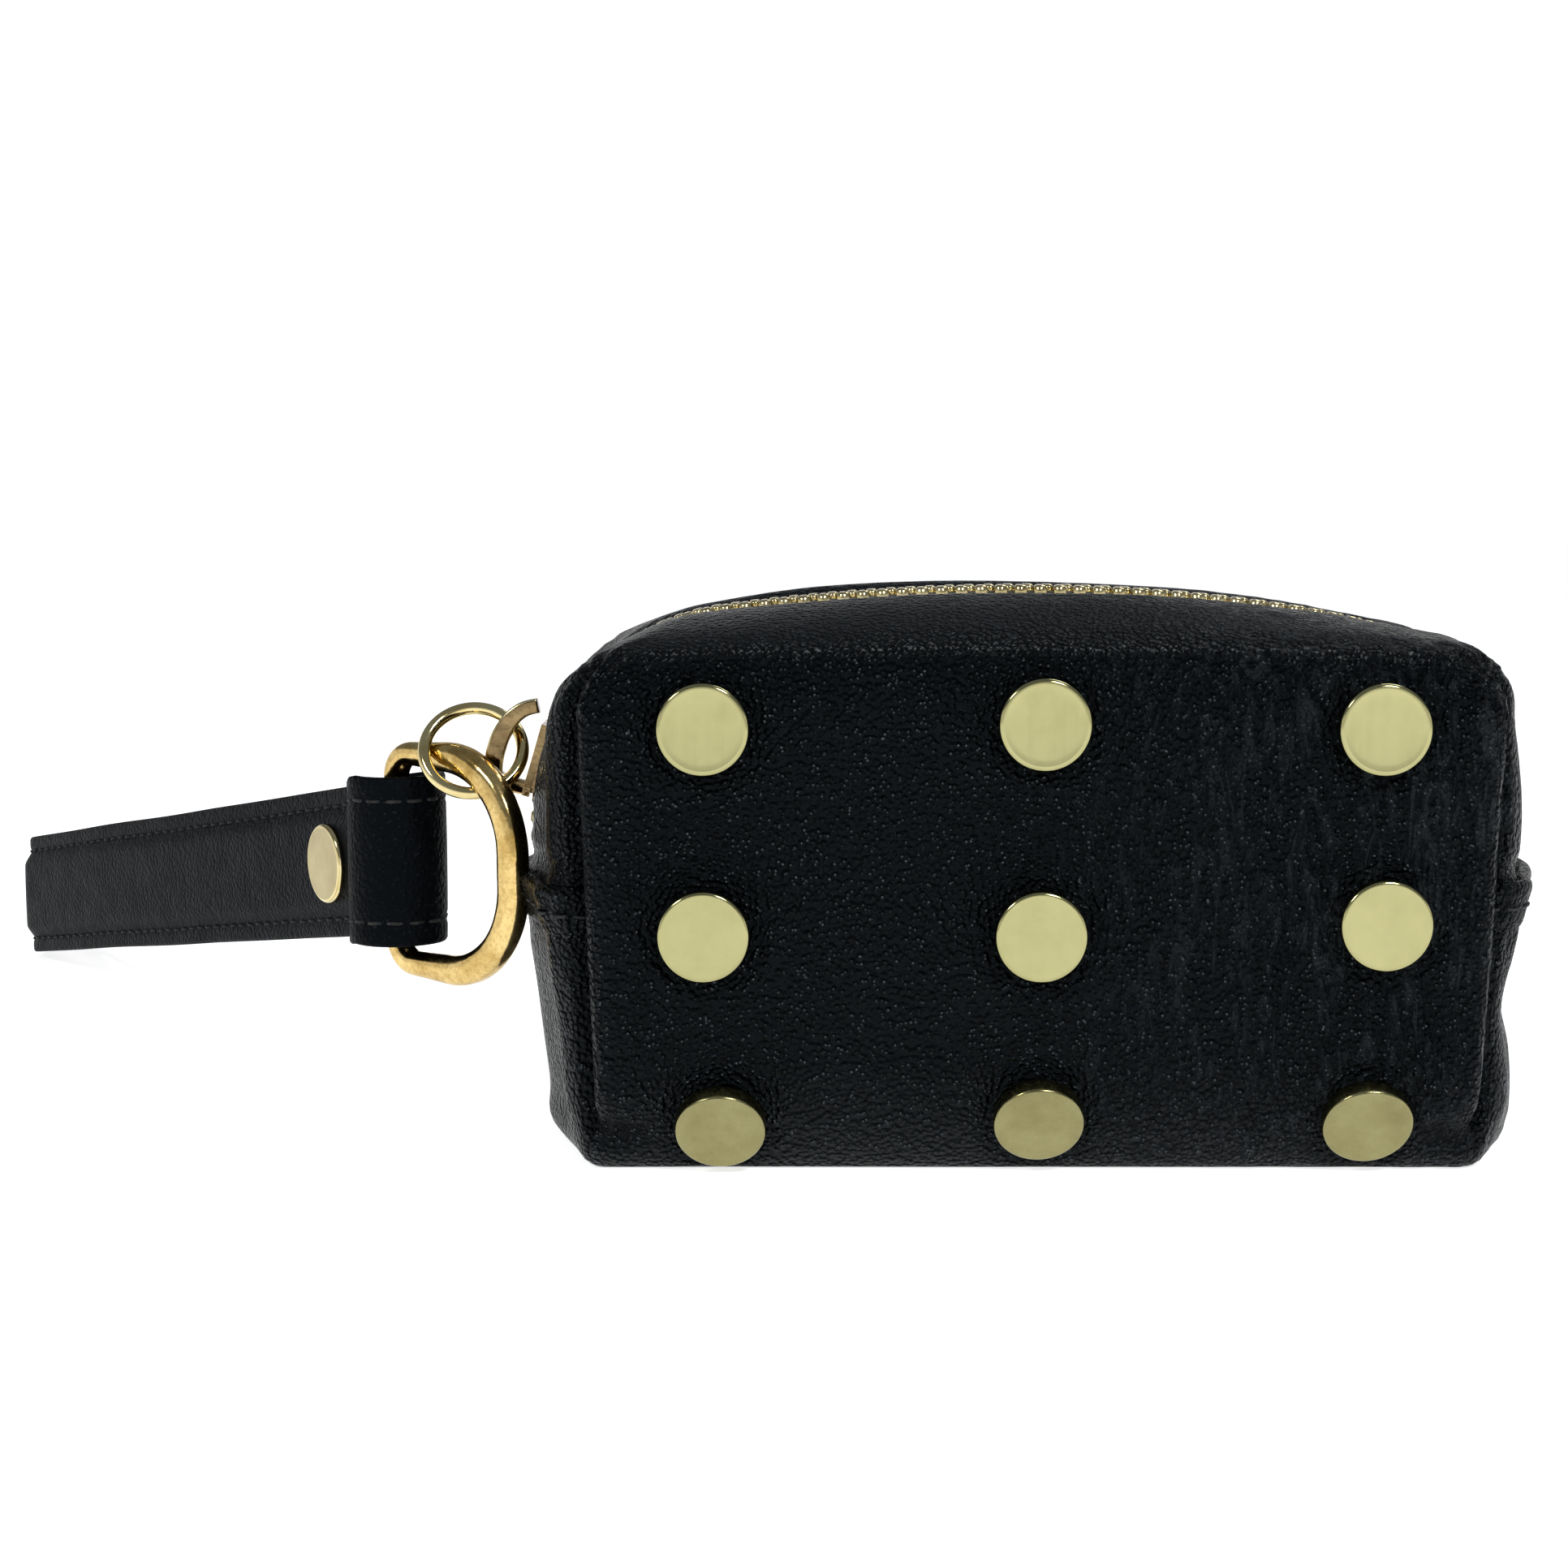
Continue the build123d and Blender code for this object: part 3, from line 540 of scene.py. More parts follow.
# ---- materials
class Nodes:
    """A small helper that wires the nodes of one material or of the world."""

    def __init__(self, owner, shader="Principled BSDF", space="Object"):
        self.owner = owner
        owner.use_nodes = True
        self.tree = owner.node_tree
        self.shader = self.tree.nodes[shader]
        self.place = self.add("TexCoord").outputs[space]

    def add(self, kind, sockets=None, **settings):
        """A node with these settings; its sockets take values, or outputs to link."""
        node = self.tree.nodes.new("ShaderNode" + kind)
        for key, value in settings.items():
            setattr(node, key, value)
        for key, value in (sockets or {}).items():
            if isinstance(value, bpy.types.NodeSocket):
                self.link(value, node.inputs[key])
            else:
                node.inputs[key].default_value = value
        return node

    def link(self, source, target):
        self.tree.links.new(source, target)

    def set(self, **values):
        for key, value in values.items():
            self.shader.inputs[key.replace("_", " ")].default_value = value

    def noise(self, scale, detail=3.0, roughness=0.55, distortion=0.0, place=None):
        sockets = {"Vector": place or self.place, "Scale": scale, "Detail": detail}
        sockets |= {"Roughness": roughness, "Distortion": distortion}
        return self.add("TexNoise", sockets).outputs["Fac"]

    def cells(self, scale, smoothness):
        sockets = {"Vector": self.place, "Scale": scale, "Smoothness": smoothness}
        return self.add("TexVoronoi", sockets, feature="SMOOTH_F1").outputs["Distance"]

    def bands(self, scale, direction, distortion):
        sockets = {"Vector": self.place, "Scale": scale, "Distortion": distortion}
        node = self.add("TexWave", sockets, wave_type="BANDS", bands_direction=direction)
        return node.outputs["Fac"]

    def stretched(self, scale, turn=(0, 0, 0)):
        sockets = {"Vector": self.place, "Scale": scale, "Rotation": turn}
        return self.add("Mapping", sockets).outputs["Vector"]

    def ramp(self, source, stops):
        """Colours between two stops, which hold a position and a colour each."""
        node = self.add("ValToRGB", {"Fac": source})
        for stop, (position, color) in zip(node.color_ramp.elements, stops):
            stop.position = position
            stop.color = color
        return node.outputs["Color"]

    def range(self, source, low, high, start=0.0, stop=1.0):
        """The source, remapped from start and stop to low and high."""
        sockets = {"Value": source, "From Min": start, "From Max": stop, "To Min": low, "To Max": high}
        return self.add("MapRange", sockets).outputs["Result"]

    def product(self, first, second):
        return self.add("Math", {0: first, 1: second}, operation="MULTIPLY").outputs["Value"]

    def mixed(self, share, below, color):
        """The colour below with another over it, by a share."""
        sockets = {"Factor": share, 6: below, 7: color}
        return self.add("Mix", sockets, data_type="RGBA").outputs[2]

    def bump(self, source, distance, below=None):
        """A bump of this depth in millimetres, over another one."""
        sockets = {"Height": source, "Distance": distance * MM}
        if below is not None:
            sockets["Normal"] = below
        return self.add("Bump", sockets).outputs["Normal"]

    def finish(self, color=None, roughness=None, normal=None):
        sources = {"Base Color": color, "Roughness": roughness, "Normal": normal}
        for socket, source in sources.items():
            if source is not None:
                self.link(source, self.shader.inputs[socket])
        return self.owner


def grey(value, blue=0.0):
    """A grey with a share of blue in it."""
    return (value, value * (1 + blue * 0.4), value * (1 + blue), 1)


CREASE_TURN = math.radians(24)
CREASE_START, CREASE_FULL = -0.005, 0.035  # x in metres
# Share of the painted crease highlight, a paler colour on the crease ridges.
CREASE_HIGHLIGHT_SHARE = 0.16


def pebbled_leather(name, dark, light, grain, relief_mm, rough, gloss, creases_mm=0.0):
    """Black leather with raised pebbles whose tops, in patches, get a painted highlight: a lighter colour in
    place of the glints of light on them; grain is a pebble's size.

    creases_mm is how deep the diagonal creases are that spread over the bag's right third; their ridges also
    get a paler colour, a painted highlight.
    """
    m = Nodes(bpy.data.materials.new(name))
    m.set(Specular_IOR_Level=gloss, Specular_Tint=(0.72, 0.9, 1.0, 1))
    pebbles = m.range(m.cells(1 / (grain * MM), 0.2), 1.0, 0.0, 0.1, 0.8)
    folds = m.noise(1 / (grain * 7 * MM), 5, 0.6)
    fine = m.noise(1 / (grain * 0.3 * MM), 3, 0.6)
    patches = m.range(m.noise(1 / (grain * 2.2 * MM), 2, 0.5), 0.1, 1.0, 0.4, 0.66)
    # Painted highlight: the pebble tops are coloured lighter in patches, in place of the glints of light on
    # them.
    highlight_specks = m.product(patches, m.range(pebbles, 0.0, 1.0, 0.72, 1.0))
    color = m.ramp(highlight_specks, [(0.0, dark), (1.0, light)])
    roughness = m.range(folds, *rough, 0.3, 0.7)
    normal = m.bump(fine, relief_mm * 0.2)
    normal = m.bump(folds, relief_mm * 0.9, normal)
    if creases_mm:
        wrinkle = m.noise(430, 4, 0.6, 1.6, m.stretched((1.0, 1.0, 0.28), (0, CREASE_TURN, 0)))
        split = m.add("SeparateXYZ", {0: m.place})
        to_right = m.range(split.outputs["X"], 0.05, 1.0, CREASE_START, CREASE_FULL)
        creases = m.product(m.range(wrinkle, 0.0, 1.0, 0.46, 0.6), to_right)
        # Painted highlight: the crease ridges are mixed towards a paler colour.
        crease_highlight = tuple(0.8 * part for part in light[:3]) + (1,)
        color = m.mixed(m.range(creases, 0.0, CREASE_HIGHLIGHT_SHARE), color, crease_highlight)
        normal = m.bump(creases, creases_mm, normal)
    normal = m.bump(pebbles, relief_mm, normal)
    return m.finish(color, roughness, normal)


def woven_cloth(name, dark, light, thread_mm, rough=0.85):
    """A plain weave: threads across and along, with a little fuzz."""
    m = Nodes(bpy.data.materials.new(name))
    m.set(Specular_IOR_Level=0.2, Sheen_Weight=0.25, Sheen_Roughness=0.5)
    scale = 1 / (thread_mm * MM) / 20
    weave = m.product(*(m.bands(scale, axis, 0.6) for axis in ("X", "Z")))
    fuzz = m.noise(1 / (thread_mm * 3 * MM), 4)
    color = m.ramp(fuzz, [(0.3, dark), (0.7, light)])
    roughness = m.range(fuzz, rough - 0.1, rough + 0.1)
    normal = m.bump(weave, thread_mm * 0.4)
    return m.finish(color, roughness, m.bump(fuzz, thread_mm * 0.3, normal))


def twisted_thread(name, dark, light):
    """Waxed sewing thread with a fine twist."""
    m = Nodes(bpy.data.materials.new(name))
    m.set(Specular_IOR_Level=0.12)
    twist = m.bands(170, "DIAGONAL", 1.0)
    color = m.ramp(m.noise(900, 2), [(0.3, dark), (0.7, light)])
    return m.finish(color, m.range(m.noise(2500), 0.45, 0.7), m.bump(twist, 0.08))


def gold(name, pale, deep, rough, brushed=0.0, dents=0.0, wear=0.0):
    """Gold plating: polished or brushed, with faint dents and darker patches of wear."""
    m = Nodes(bpy.data.materials.new(name))
    m.set(Metallic=1.0, Specular_IOR_Level=0.5)
    cloud = m.noise(180, 5, 0.65)
    streak = m.noise(1200, 4, 0.6, place=m.stretched((1.0, 1.0, 0.02)))
    spots = m.noise(1500, 4, 0.7)
    color = m.ramp(cloud, [(0.3, deep), (0.62, pale)])
    if wear:
        dull = (deep[0] * 0.55, deep[1] * 0.42, deep[2] * 0.3, 1)
        color = m.mixed(m.range(spots, 0.0, wear, 0.45, 0.75), color, dull)
    roughness = m.range(streak if brushed else cloud, rough * 0.7, rough * 1.3, 0.3, 0.7)
    normal = m.bump(streak if brushed else spots, max(brushed, 0.004))
    if dents:
        normal = m.bump(m.noise(260, 3, 0.5), dents, normal)
    return m.finish(color, roughness, normal)


# Its lighter colour is a painted highlight on the pebble tops and, mixed in at a small share, on the crease
# ridges.
bag_leather = pebbled_leather(
    "bag_leather_black", (0.0002, 0.0005, 0.0008, 1), (0.075, 0.088, 0.1, 1),
    grain=0.7, relief_mm=0.85, rough=(0.22, 0.3), gloss=0.085, creases_mm=3.0,
)
# Its lighter colour is a painted highlight on the pebble tops.
strap_leather = pebbled_leather(
    "strap_leather_charcoal", grey(0.0022, 0.6), grey(0.011, 0.45),
    grain=0.7, relief_mm=0.14, rough=(0.4, 0.5), gloss=0.025,
)
lining_cloth = woven_cloth("lining_twill", grey(0.02), grey(0.04), 0.5)
tape_cloth = woven_cloth("zip_tape_weave", grey(0.006), grey(0.014), 0.45)
thread_cloth = twisted_thread("black_thread", grey(0.002), grey(0.007))
fold_thread = twisted_thread("worn_thread", grey(0.006), grey(0.03))
board_felt = woven_cloth("grey_board", grey(0.2), grey(0.3), 0.8)
zip_metal = gold("zip_gold", (0.7, 0.6, 0.34, 1), (0.5, 0.4, 0.18, 1), 0.2)
slider_gold = gold("slider_gold", (0.26, 0.185, 0.09, 1), (0.1, 0.065, 0.03, 1), 0.14, dents=0.25)
ring_gold = gold("ring_gold", (0.72, 0.62, 0.33, 1), (0.58, 0.46, 0.2, 1), 0.1)
cast_gold = gold("cast_gold", (0.76, 0.57, 0.24, 1), (0.4, 0.25, 0.06, 1), 0.16, dents=0.14, wear=0.5)
stud_gold = gold("stud_gold", (0.38, 0.36, 0.175, 1), (0.34, 0.32, 0.15, 1), 0.12, brushed=0.003)
brushed_gold = gold("brushed_gold", (0.27, 0.25, 0.12, 1), (0.21, 0.19, 0.085, 1), 0.24, brushed=0.03)
rivet_gold = gold("rivet_gold", (0.4, 0.34, 0.17, 1), (0.32, 0.26, 0.12, 1), 0.16, brushed=0.003)


# ---- repeated shapes
class Line:
    """A path of points with normals, read by distance along it."""

    def __init__(self, line, line_normals):
        self.line = np.asarray(line, float)
        self.normals = np.asarray(line_normals, float)
        self.run = distances(self.line)
        self.length = self.run[-1]
        self.tangents = np.gradient(self.line, self.run, axis=0)

    def read(self, values, s):
        return np.array([np.interp(s, self.run, values[:, k]) for k in range(3)])

    def frame(self, s):
        """Place, along, across and out directions at a distance."""
        along = unit(self.read(self.tangents, s))
        out = self.read(self.normals, s)
        out = unit(out - along * (out @ along))
        return self.read(self.line, s), along, np.cross(out, along), out


def full_turn(count):
    """Angles of a whole turn, without its end."""
    return np.linspace(0, 2 * np.pi, count, endpoint=False)


def capsule(length, radius):
    """A short thread with round ends, as rings along its length, slightly arched into the leather."""
    rings = []
    turn = full_turn(8)
    ends = np.linspace(0, np.pi / 2, 4)[:-1]
    half = [(length / 2 - radius * (1 - np.cos(a)), radius * np.sin(a)) for a in ends]
    half.append((length / 4, radius))
    for at, size in [(-at, size) for at, size in half] + [(0, radius)] + half[::-1]:
        sink = -0.9 * radius * (2 * abs(at) / length) ** 3
        size = max(size, radius * 0.25)
        height = sink + size * np.sin(turn) * 0.8
        rings.append(columns([np.full(len(turn), at), size * np.cos(turn), height]))
    return np.array(rings)


def repeated(name, shape, frames, material):
    """One object with the same ring-built shape at many frames: place, along, across and out."""
    count, size = shape.shape[:2]
    flat = shape.reshape(-1, 3)
    vertices, faces = [], []
    for k, (place, *axes) in enumerate(frames):
        vertices.append(place + flat @ np.array(axes))
        faces += ring_faces(count, size, k * len(flat))
    return fix_normals(new_piece(name, np.vstack(vertices), faces, material))


def stitch_frames(line, pitch, start, stop, wander=0.12):
    """Frames of hand-even stitches along a line, each a little off its place and slant."""
    frames = []
    for k in range(int((stop - start) / pitch)):
        place, along, across, out = line.frame(start + (k + 0.5) * pitch + random.uniform(-0.1, 0.1))
        along = along + across * random.uniform(-0.05, 0.05)
        frames.append((place + across * random.uniform(-wander, wander), along, across, out))
    return frames


def slab(outline, levels):
    """Rings of a flat shape: its outline, shrunk by an inset at each height."""
    outline = np.asarray(outline, float)
    ahead = np.roll(outline, -1, axis=0) - outline
    back = outline - np.roll(outline, 1, axis=0)
    side_a = unit(columns([-ahead[:, 1], ahead[:, 0]]))
    side_b = unit(columns([-back[:, 1], back[:, 0]]))
    inward = side_a + side_b
    inward /= np.maximum((inward * side_a).sum(1), 0.4)[:, None]
    flat = np.ones(len(outline))
    return np.array([columns([outline + inward * inset, flat * height]) for inset, height in levels])


def beside(piece):
    """Bakes the placement of a piece of the mouth into its mesh."""
    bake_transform(piece)


# ---- leather
in_end = in_gusset & (is_low_end | is_high_end)
main = shell("main_leather", ~in_slot & ~in_flap & ~in_end, bag_leather)
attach(main, "root")
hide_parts("front_panel", "back_panel")
for end, here in (("left", left_end), ("right", ~left_end)):
    for level, there in (("lower", is_low_end), ("upper", is_high_end)):
        gusset = shell(f"{end}_{level}_gusset_leather", in_gusset & there & here, bag_leather)
        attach(gusset, "root")
        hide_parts(f"{end}_{level}_gusset")
# The four quarters of the mouth: name, side of the zip, half, and the faces in it.
MOUTH = [
    (name, sign, part, in_flap & (facing == sign) & here)
    for name, sign in (("front", -1), ("back", 1))
    for part, here in (("left", left_part), ("right", ~left_part))
]
for name, sign, part, mask in MOUTH:
    flap = shell(f"{name}_flap_leather_{part}", mask, bag_leather)
    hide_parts(f"{name}_top_flap")
    beside(flap)

# ---- lining
lining = shell("bag_lining", ~in_slot & ~in_flap, lining_cloth, LINING_DEPTH, LINING, False)
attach(lining, "root")
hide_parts("front_lining", "back_lining")
for name, sign, part, mask in MOUTH:
    cloth = shell(f"{name}_flap_lining_{part}", mask, lining_cloth, LINING_DEPTH, LINING, False)
    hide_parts(f"{name}_flap_lining")
    beside(cloth)

# ---- lapped seams at the ends
HEM_PROFILE = [
    (-1.2, -6.2), (0.1, -6.0), (0.6, -5.2), (1.0, -3.6), (1.2, -2.2), (1.7, -0.9),
    (1.65, 0.1), (1.0, 0.65), (0.2, 0.5), (-0.5, -0.1), (-1.2, -0.6),
]
HEM_STITCH_PITCH, HEM_STITCH_END = 3.5, 1.5
HEM_DROP = {"left": 1.2, "right": 0.3}
ring_y = np.array([points[j * LOOP][1] for j in range(2 * RINGS_OUT - 1)])
seam_rings = np.where(abs(ring_y) < GROOVE_Y + 0.3)[0]
for end, column in (("left", SIDE_START[1]), ("right", SIDE_START[4])):
    rings = []
    for j in seam_rings:
        place = points[j * LOOP + column]
        out = unit(normals[j * LOOP + column] * np.array([1, 1, 0]))
        wave = 0.35 * noise.noise(Vector((place[1] / 9, 4.0 if end == "left" else 9.0, 0)))
        drop = 0.5 * bell(abs(place[1]), GROOVE_Y, 4.0)
        rings.append([
            place + out * (o * (1 - 0.35 * drop) + 0.2 + wave * 0.5) + UP * (z + wave - HEM_DROP[end])
            for o, z in HEM_PROFILE
        ])
    hem = loft_rings(f"{end}_hem_leather", rings, bag_leather)
    smooth = hem.modifiers.new("smooth", "SUBSURF")
    smooth.levels = smooth.render_levels = 1
    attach(hem, "root")
    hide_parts(f"{end}_seam_hem")
    rings = np.array(rings)
    row = Line(rings[:, 4] * 0.5 + rings[:, 3] * 0.5, rings[:, 4] - points[seam_rings * LOOP + column])
    frames = stitch_frames(row, HEM_STITCH_PITCH, HEM_STITCH_END, row.length - HEM_STITCH_END)
    threads = repeated(f"{end}_hem_stitches", capsule(2.5, 0.26), frames, fold_thread)
    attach(threads, "root")

# ---- zip
TOOTH_PITCH = 2.63
zip_ring = bend_ends(ring(rows_out[0], 1))[SIDE_START[1] : SIDE_START[4] + 1]
zip_ring[:, 1] = 0
zip_tangent = np.gradient(zip_ring, axis=0)
zip_out = columns([-zip_tangent[:, 2], np.zeros(len(zip_ring)), zip_tangent[:, 0]])
zip_line = Line(zip_ring, unit(zip_out))
zip_middle = np.interp(MOUTH_SPLIT, zip_line.line[:, 0], zip_line.run)
TEETH_DEPTH = 1.15
TOOTH_OUTLINE = [
    (-0.78, -2.95), (0.78, -2.95), (0.78, -1.5), (0.5, -1.0), (0.5, -0.3), (0.66, 0.15),
    (0.45, 0.62), (0.0, 0.75), (-0.45, 0.62), (-0.66, 0.15), (-0.5, -0.3), (-0.5, -1.0), (-0.78, -1.5),
]
TOOTH_LEVELS = [(0.28, -1.2), (0.0, -0.9), (0.0, 0.8), (0.12, 1.0), (0.3, 1.12)]
TAPE_PROFILE = [
    (0.3, 1.25), (0.9, 0.85), (1.6, 1.0), (2.8, 1.35), (3.9, 2.75), (6.3, 3.0),
    (6.3, 3.4), (3.6, 3.2), (2.6, 1.9), (0.9, 1.85),
]
TAPE_STEPS = 90
for name, sign, part, _ in MOUTH:
    low, high = (0.0, zip_middle) if part == "left" else (zip_middle, zip_line.length)
    shift = 0.25 if sign < 0 else 0.75
    frames = []
    halfway = round(zip_middle / TOOTH_PITCH)
    first, last = (1, halfway) if part == "left" else (halfway, int((high - 2.6) / TOOTH_PITCH))
    for k in range(first, last):
        place, along, across, out = zip_line.frame((k + shift) * TOOTH_PITCH)
        if np.sign(across[1]) != -sign:
            along, across = -along, -across
        frames.append((place - out * TEETH_DEPTH, along, across, out))
    teeth = repeated(f"{name}_teeth_{part}", slab(TOOTH_OUTLINE, TOOTH_LEVELS), frames, zip_metal)
    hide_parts(f"{name}_zip_teeth", f"{part}_zip_teeth")
    beside(teeth)
    rings = []
    for s in np.arange(low, high + 0.01, (high - low) / TAPE_STEPS):
        place, along, across, out = zip_line.frame(s)
        rings.append([place + np.array([0, sign * y, 0]) - out * depth for y, depth in TAPE_PROFILE])
    tape = loft_rings(f"{name}_tape_{part}", rings, tape_cloth)
    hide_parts(f"{name}_zip_tape", f"{part}_zip_tape")
    beside(tape)

# Rows of topstitching on both sides of the zip.
STITCH_PITCH, STITCH_END = 3.55, 3.0
for name, sign, part, _ in MOUTH:
    j = np.argmin(abs(ring_y - sign * STITCH_Y))
    low, high = (SIDE_START[1], flap_middle) if part == "left" else (flap_middle, SIDE_START[4])
    along = slice(j * LOOP + low, j * LOOP + high + 1)
    row = Line(points[along], normals[along])
    ends = (STITCH_END, row.length) if part == "left" else (0.0, row.length - STITCH_END)
    frames = stitch_frames(row, STITCH_PITCH, *ends)
    threads = repeated(f"{name}_topstitch_{part}", capsule(2.7, 0.24), frames, thread_cloth)
    beside(threads)

# ---- studs
STUD_PROFILE = [
    (0.0, 2.13), (2.2, 2.14), (4.2, 2.16), (5.05, 2.18), (5.3, 2.2), (5.45, 2.16), (5.6, 2.06),
    (5.7, 1.92), (5.75, 1.7), (5.75, 0.9), (5.74, 0.2), (5.6, -0.35), (0.0, -0.4),
]


def lathe(profile):
    """Rings of a turned shape about the out axis."""
    turn = full_turn(96)
    circle = columns([np.cos(turn), np.sin(turn)])
    return np.array([columns([max(r, 0.01) * circle, np.full(len(turn), h)]) for r, h in profile])


# The lowest row leans with the front's rounded foot.
low_tilt = math.atan2(2.5, 5.1)
low_axis = np.array([0, -math.cos(low_tilt), -math.sin(low_tilt)])
low_y = -HALF_DEPTH + 5.0 * math.tan(low_tilt)


def stud_frames_at(places, y, out):
    """Frames of the studs at these places, facing out."""
    across = np.array([1.0, 0, 0])
    return [(np.array([x, y, z]), across, np.cross(out, across), out) for x, z in places]


upper_frames = stud_frames_at(stud_places[:6], -HALF_DEPTH, np.array([0, -1.0, 0]))
lower_frames = stud_frames_at(stud_places[6:], low_y, low_axis)
for name, frames, material in (("upper", upper_frames, stud_gold), ("lower", lower_frames, brushed_gold)):
    studs = repeated(f"{name}_stud_heads", lathe(STUD_PROFILE), frames, material)
    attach(studs, "root")
    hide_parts("front_studs")

# ---- D-ring
def level_axes(heading):
    """Level directions along a heading in degrees and to its left."""
    c, s = math.cos(math.radians(heading)), math.sin(math.radians(heading))
    return np.array([c, s, 0]), np.array([-s, c, 0])


dee_pivot = joint("strap_swing")
dee_out, dee_side = level_axes(-41)
DEE_DEPTH, DEE_HALF = 23.3, 14.6
DEE_NEAR, DEE_FAR = 3.6, 12.5  # corner radii beside the strap's bar and at the far side
DEE_STEPS = 160
DEE_SQUARE = 0.78  # 1 is a round section, less is squarer
DEE_WIDE, DEE_THICK = 1.62, 1.6  # half sizes of the section at the bar
near, far, reach = DEE_HALF - DEE_NEAR, DEE_HALF - DEE_FAR, DEE_DEPTH - DEE_FAR
dee_plan = np.vstack([
    [(0, 0), (0, near)],
    arc(DEE_NEAR, near, DEE_NEAR, 180, 90, 12),
    arc(reach, far, DEE_FAR, 90, 0, 24),
    arc(reach, -far, DEE_FAR, 0, -90, 24),
    arc(DEE_NEAR, -near, DEE_NEAR, 270, 180, 12),
    [(0, 0)],
])
dee_plan = resample(dee_plan, DEE_STEPS + 1)[:-1]
turn = full_turn(28)
round_part, flat_part = (np.sign(v) * abs(v) ** DEE_SQUARE for v in (np.cos(turn), np.sin(turn)))
dee_rings = []
for k, (u, w) in enumerate(dee_plan):
    ahead = unit(dee_plan[(k + 1) % DEE_STEPS] - dee_plan[k - 1])
    bow = rise(2, 14, u)
    wide = DEE_WIDE + 0.5 * bow + 0.10 * noise.noise(Vector((u / 7, w / 7, 2.0)))
    thick = DEE_THICK + 0.25 * bow + 0.08 * noise.noise(Vector((u / 6, w / 6, 7.0)))
    centre = dee_pivot + dee_out * u + UP * w
    radial = dee_out * -ahead[1] + UP * ahead[0]
    dee_rings.append(centre + np.outer(wide * round_part, radial) + np.outer(thick * flat_part, dee_side))
dee = loft_rings("d_ring_cast", dee_rings, cast_gold, closed_path=True)
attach(dee, "d_ring")
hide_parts("d_ring")

# ---- wrist strap
strap_along, strap_left = level_axes(124)
STRAP_DROP, STRAP_LENGTH, STRAP_HALF = 0.168, 150.0, 10.8
STRAP_SEAM, FOLD_SEAM = 8.15, 8.4  # distance of the stitching from the middle
END_RADIUS, NEAR_OFFSET = 5.8, 1.85  # the loop's half width at its round end and at the fold


def strap_point(a, b, h=0.0):
    """Place of a point of the strap: along it, to its left, and above its middle line."""
    return dee_pivot + strap_along * a + strap_left * b + UP * (h - STRAP_DROP * max(a, 0))


def strap_plan():
    """Plan of the loop's middle line, from the fold along one side, round the end and back."""
    end_x = STRAP_LENGTH - 1.8 - END_RADIUS
    side = columns([np.linspace(3.5, end_x, 90), np.zeros(90)])
    spread = rise(20, end_x + 30, side[:, 0]) / rise(20, end_x + 30, end_x)
    side[:, 1] = -NEAR_OFFSET - (END_RADIUS - NEAR_OFFSET) * spread
    round_end = arc(end_x, 0, END_RADIUS, -90, 90, 24)
    return resample(np.vstack([side, round_end[1:-1], side[::-1] * np.array([1, -1])]), 260)


def closed_section(outer, tip, inner):
    """A band's section from its outer side, the tip at its upper edge and its inner side."""
    return np.array(outer + tip + inner + [(t, -h) for t, h in tip[::-1]])


def strap_section():
    """Section of the strap, with flat stitched borders and a padded middle: outwards and height."""
    half = STRAP_HALF
    outer = []
    for h in np.linspace(-1, 1, 41) * (half - 0.5):
        pad = 0.95 * rise(7.9, 5.6, abs(h)) + 0.2 * (1 - (h / half) ** 2)
        groove = 0.3 * bell(abs(h), STRAP_SEAM, 0.5)
        outer.append((0.85 + pad - groove, h))
    tip = [(0.62, half - 0.08), (0.0, half), (-0.62, half - 0.12), (-0.85, half - 0.6)]
    inner = [(-0.9 - 0.1 * (1 - (h / half) ** 2), h) for h in np.linspace(half - 1.4, -half + 1.4, 12)]
    return closed_section(outer, tip, inner)


def sweep_upright(plan, section, side=1.0):
    """Rings of an upright section along a plan; side picks which way is outwards."""
    ahead = unit(np.gradient(plan, axis=0))
    away = columns([ahead[:, 1], -ahead[:, 0]]) * side
    rings = []
    for (a, b), (oa, ob) in zip(plan, away):
        sag = 0.25 * noise.noise(Vector((a / 30, b / 6, 1.0)))
        rings.append([strap_point(a + oa * t, b + ob * t, h + sag) for t, h in section])
    return np.array(rings)


plan = strap_plan()
strap_rings = sweep_upright(plan, strap_section())
strap = loft_rings("strap_leather", strap_rings, strap_leather)
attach(strap, "wrist_strap")
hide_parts("strap_outer_leather", "strap_inner_leather", "strap_padding")


def band_stitches(name, plan, seam, offset, pitch, margin, length, thread, side=1.0):
    """Two rows of stitches along an upright band, seam above and below its middle, riding the strap."""
    frames = []
    for height in (-seam, seam):
        edge = sweep_upright(plan, [(offset, height), (offset + 1, height)], side)
        row = Line(edge[:, 0], edge[:, 1] - edge[:, 0])
        frames += stitch_frames(row, pitch, margin, row.length - margin, 0.05)
    threads = repeated(name, capsule(length, 0.25), frames, thread)
    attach(threads, "wrist_strap")


band_stitches(
    "strap_stitches", plan, STRAP_SEAM, offset=0.78, pitch=3.3, margin=6.0, length=2.5, thread=thread_cloth
)

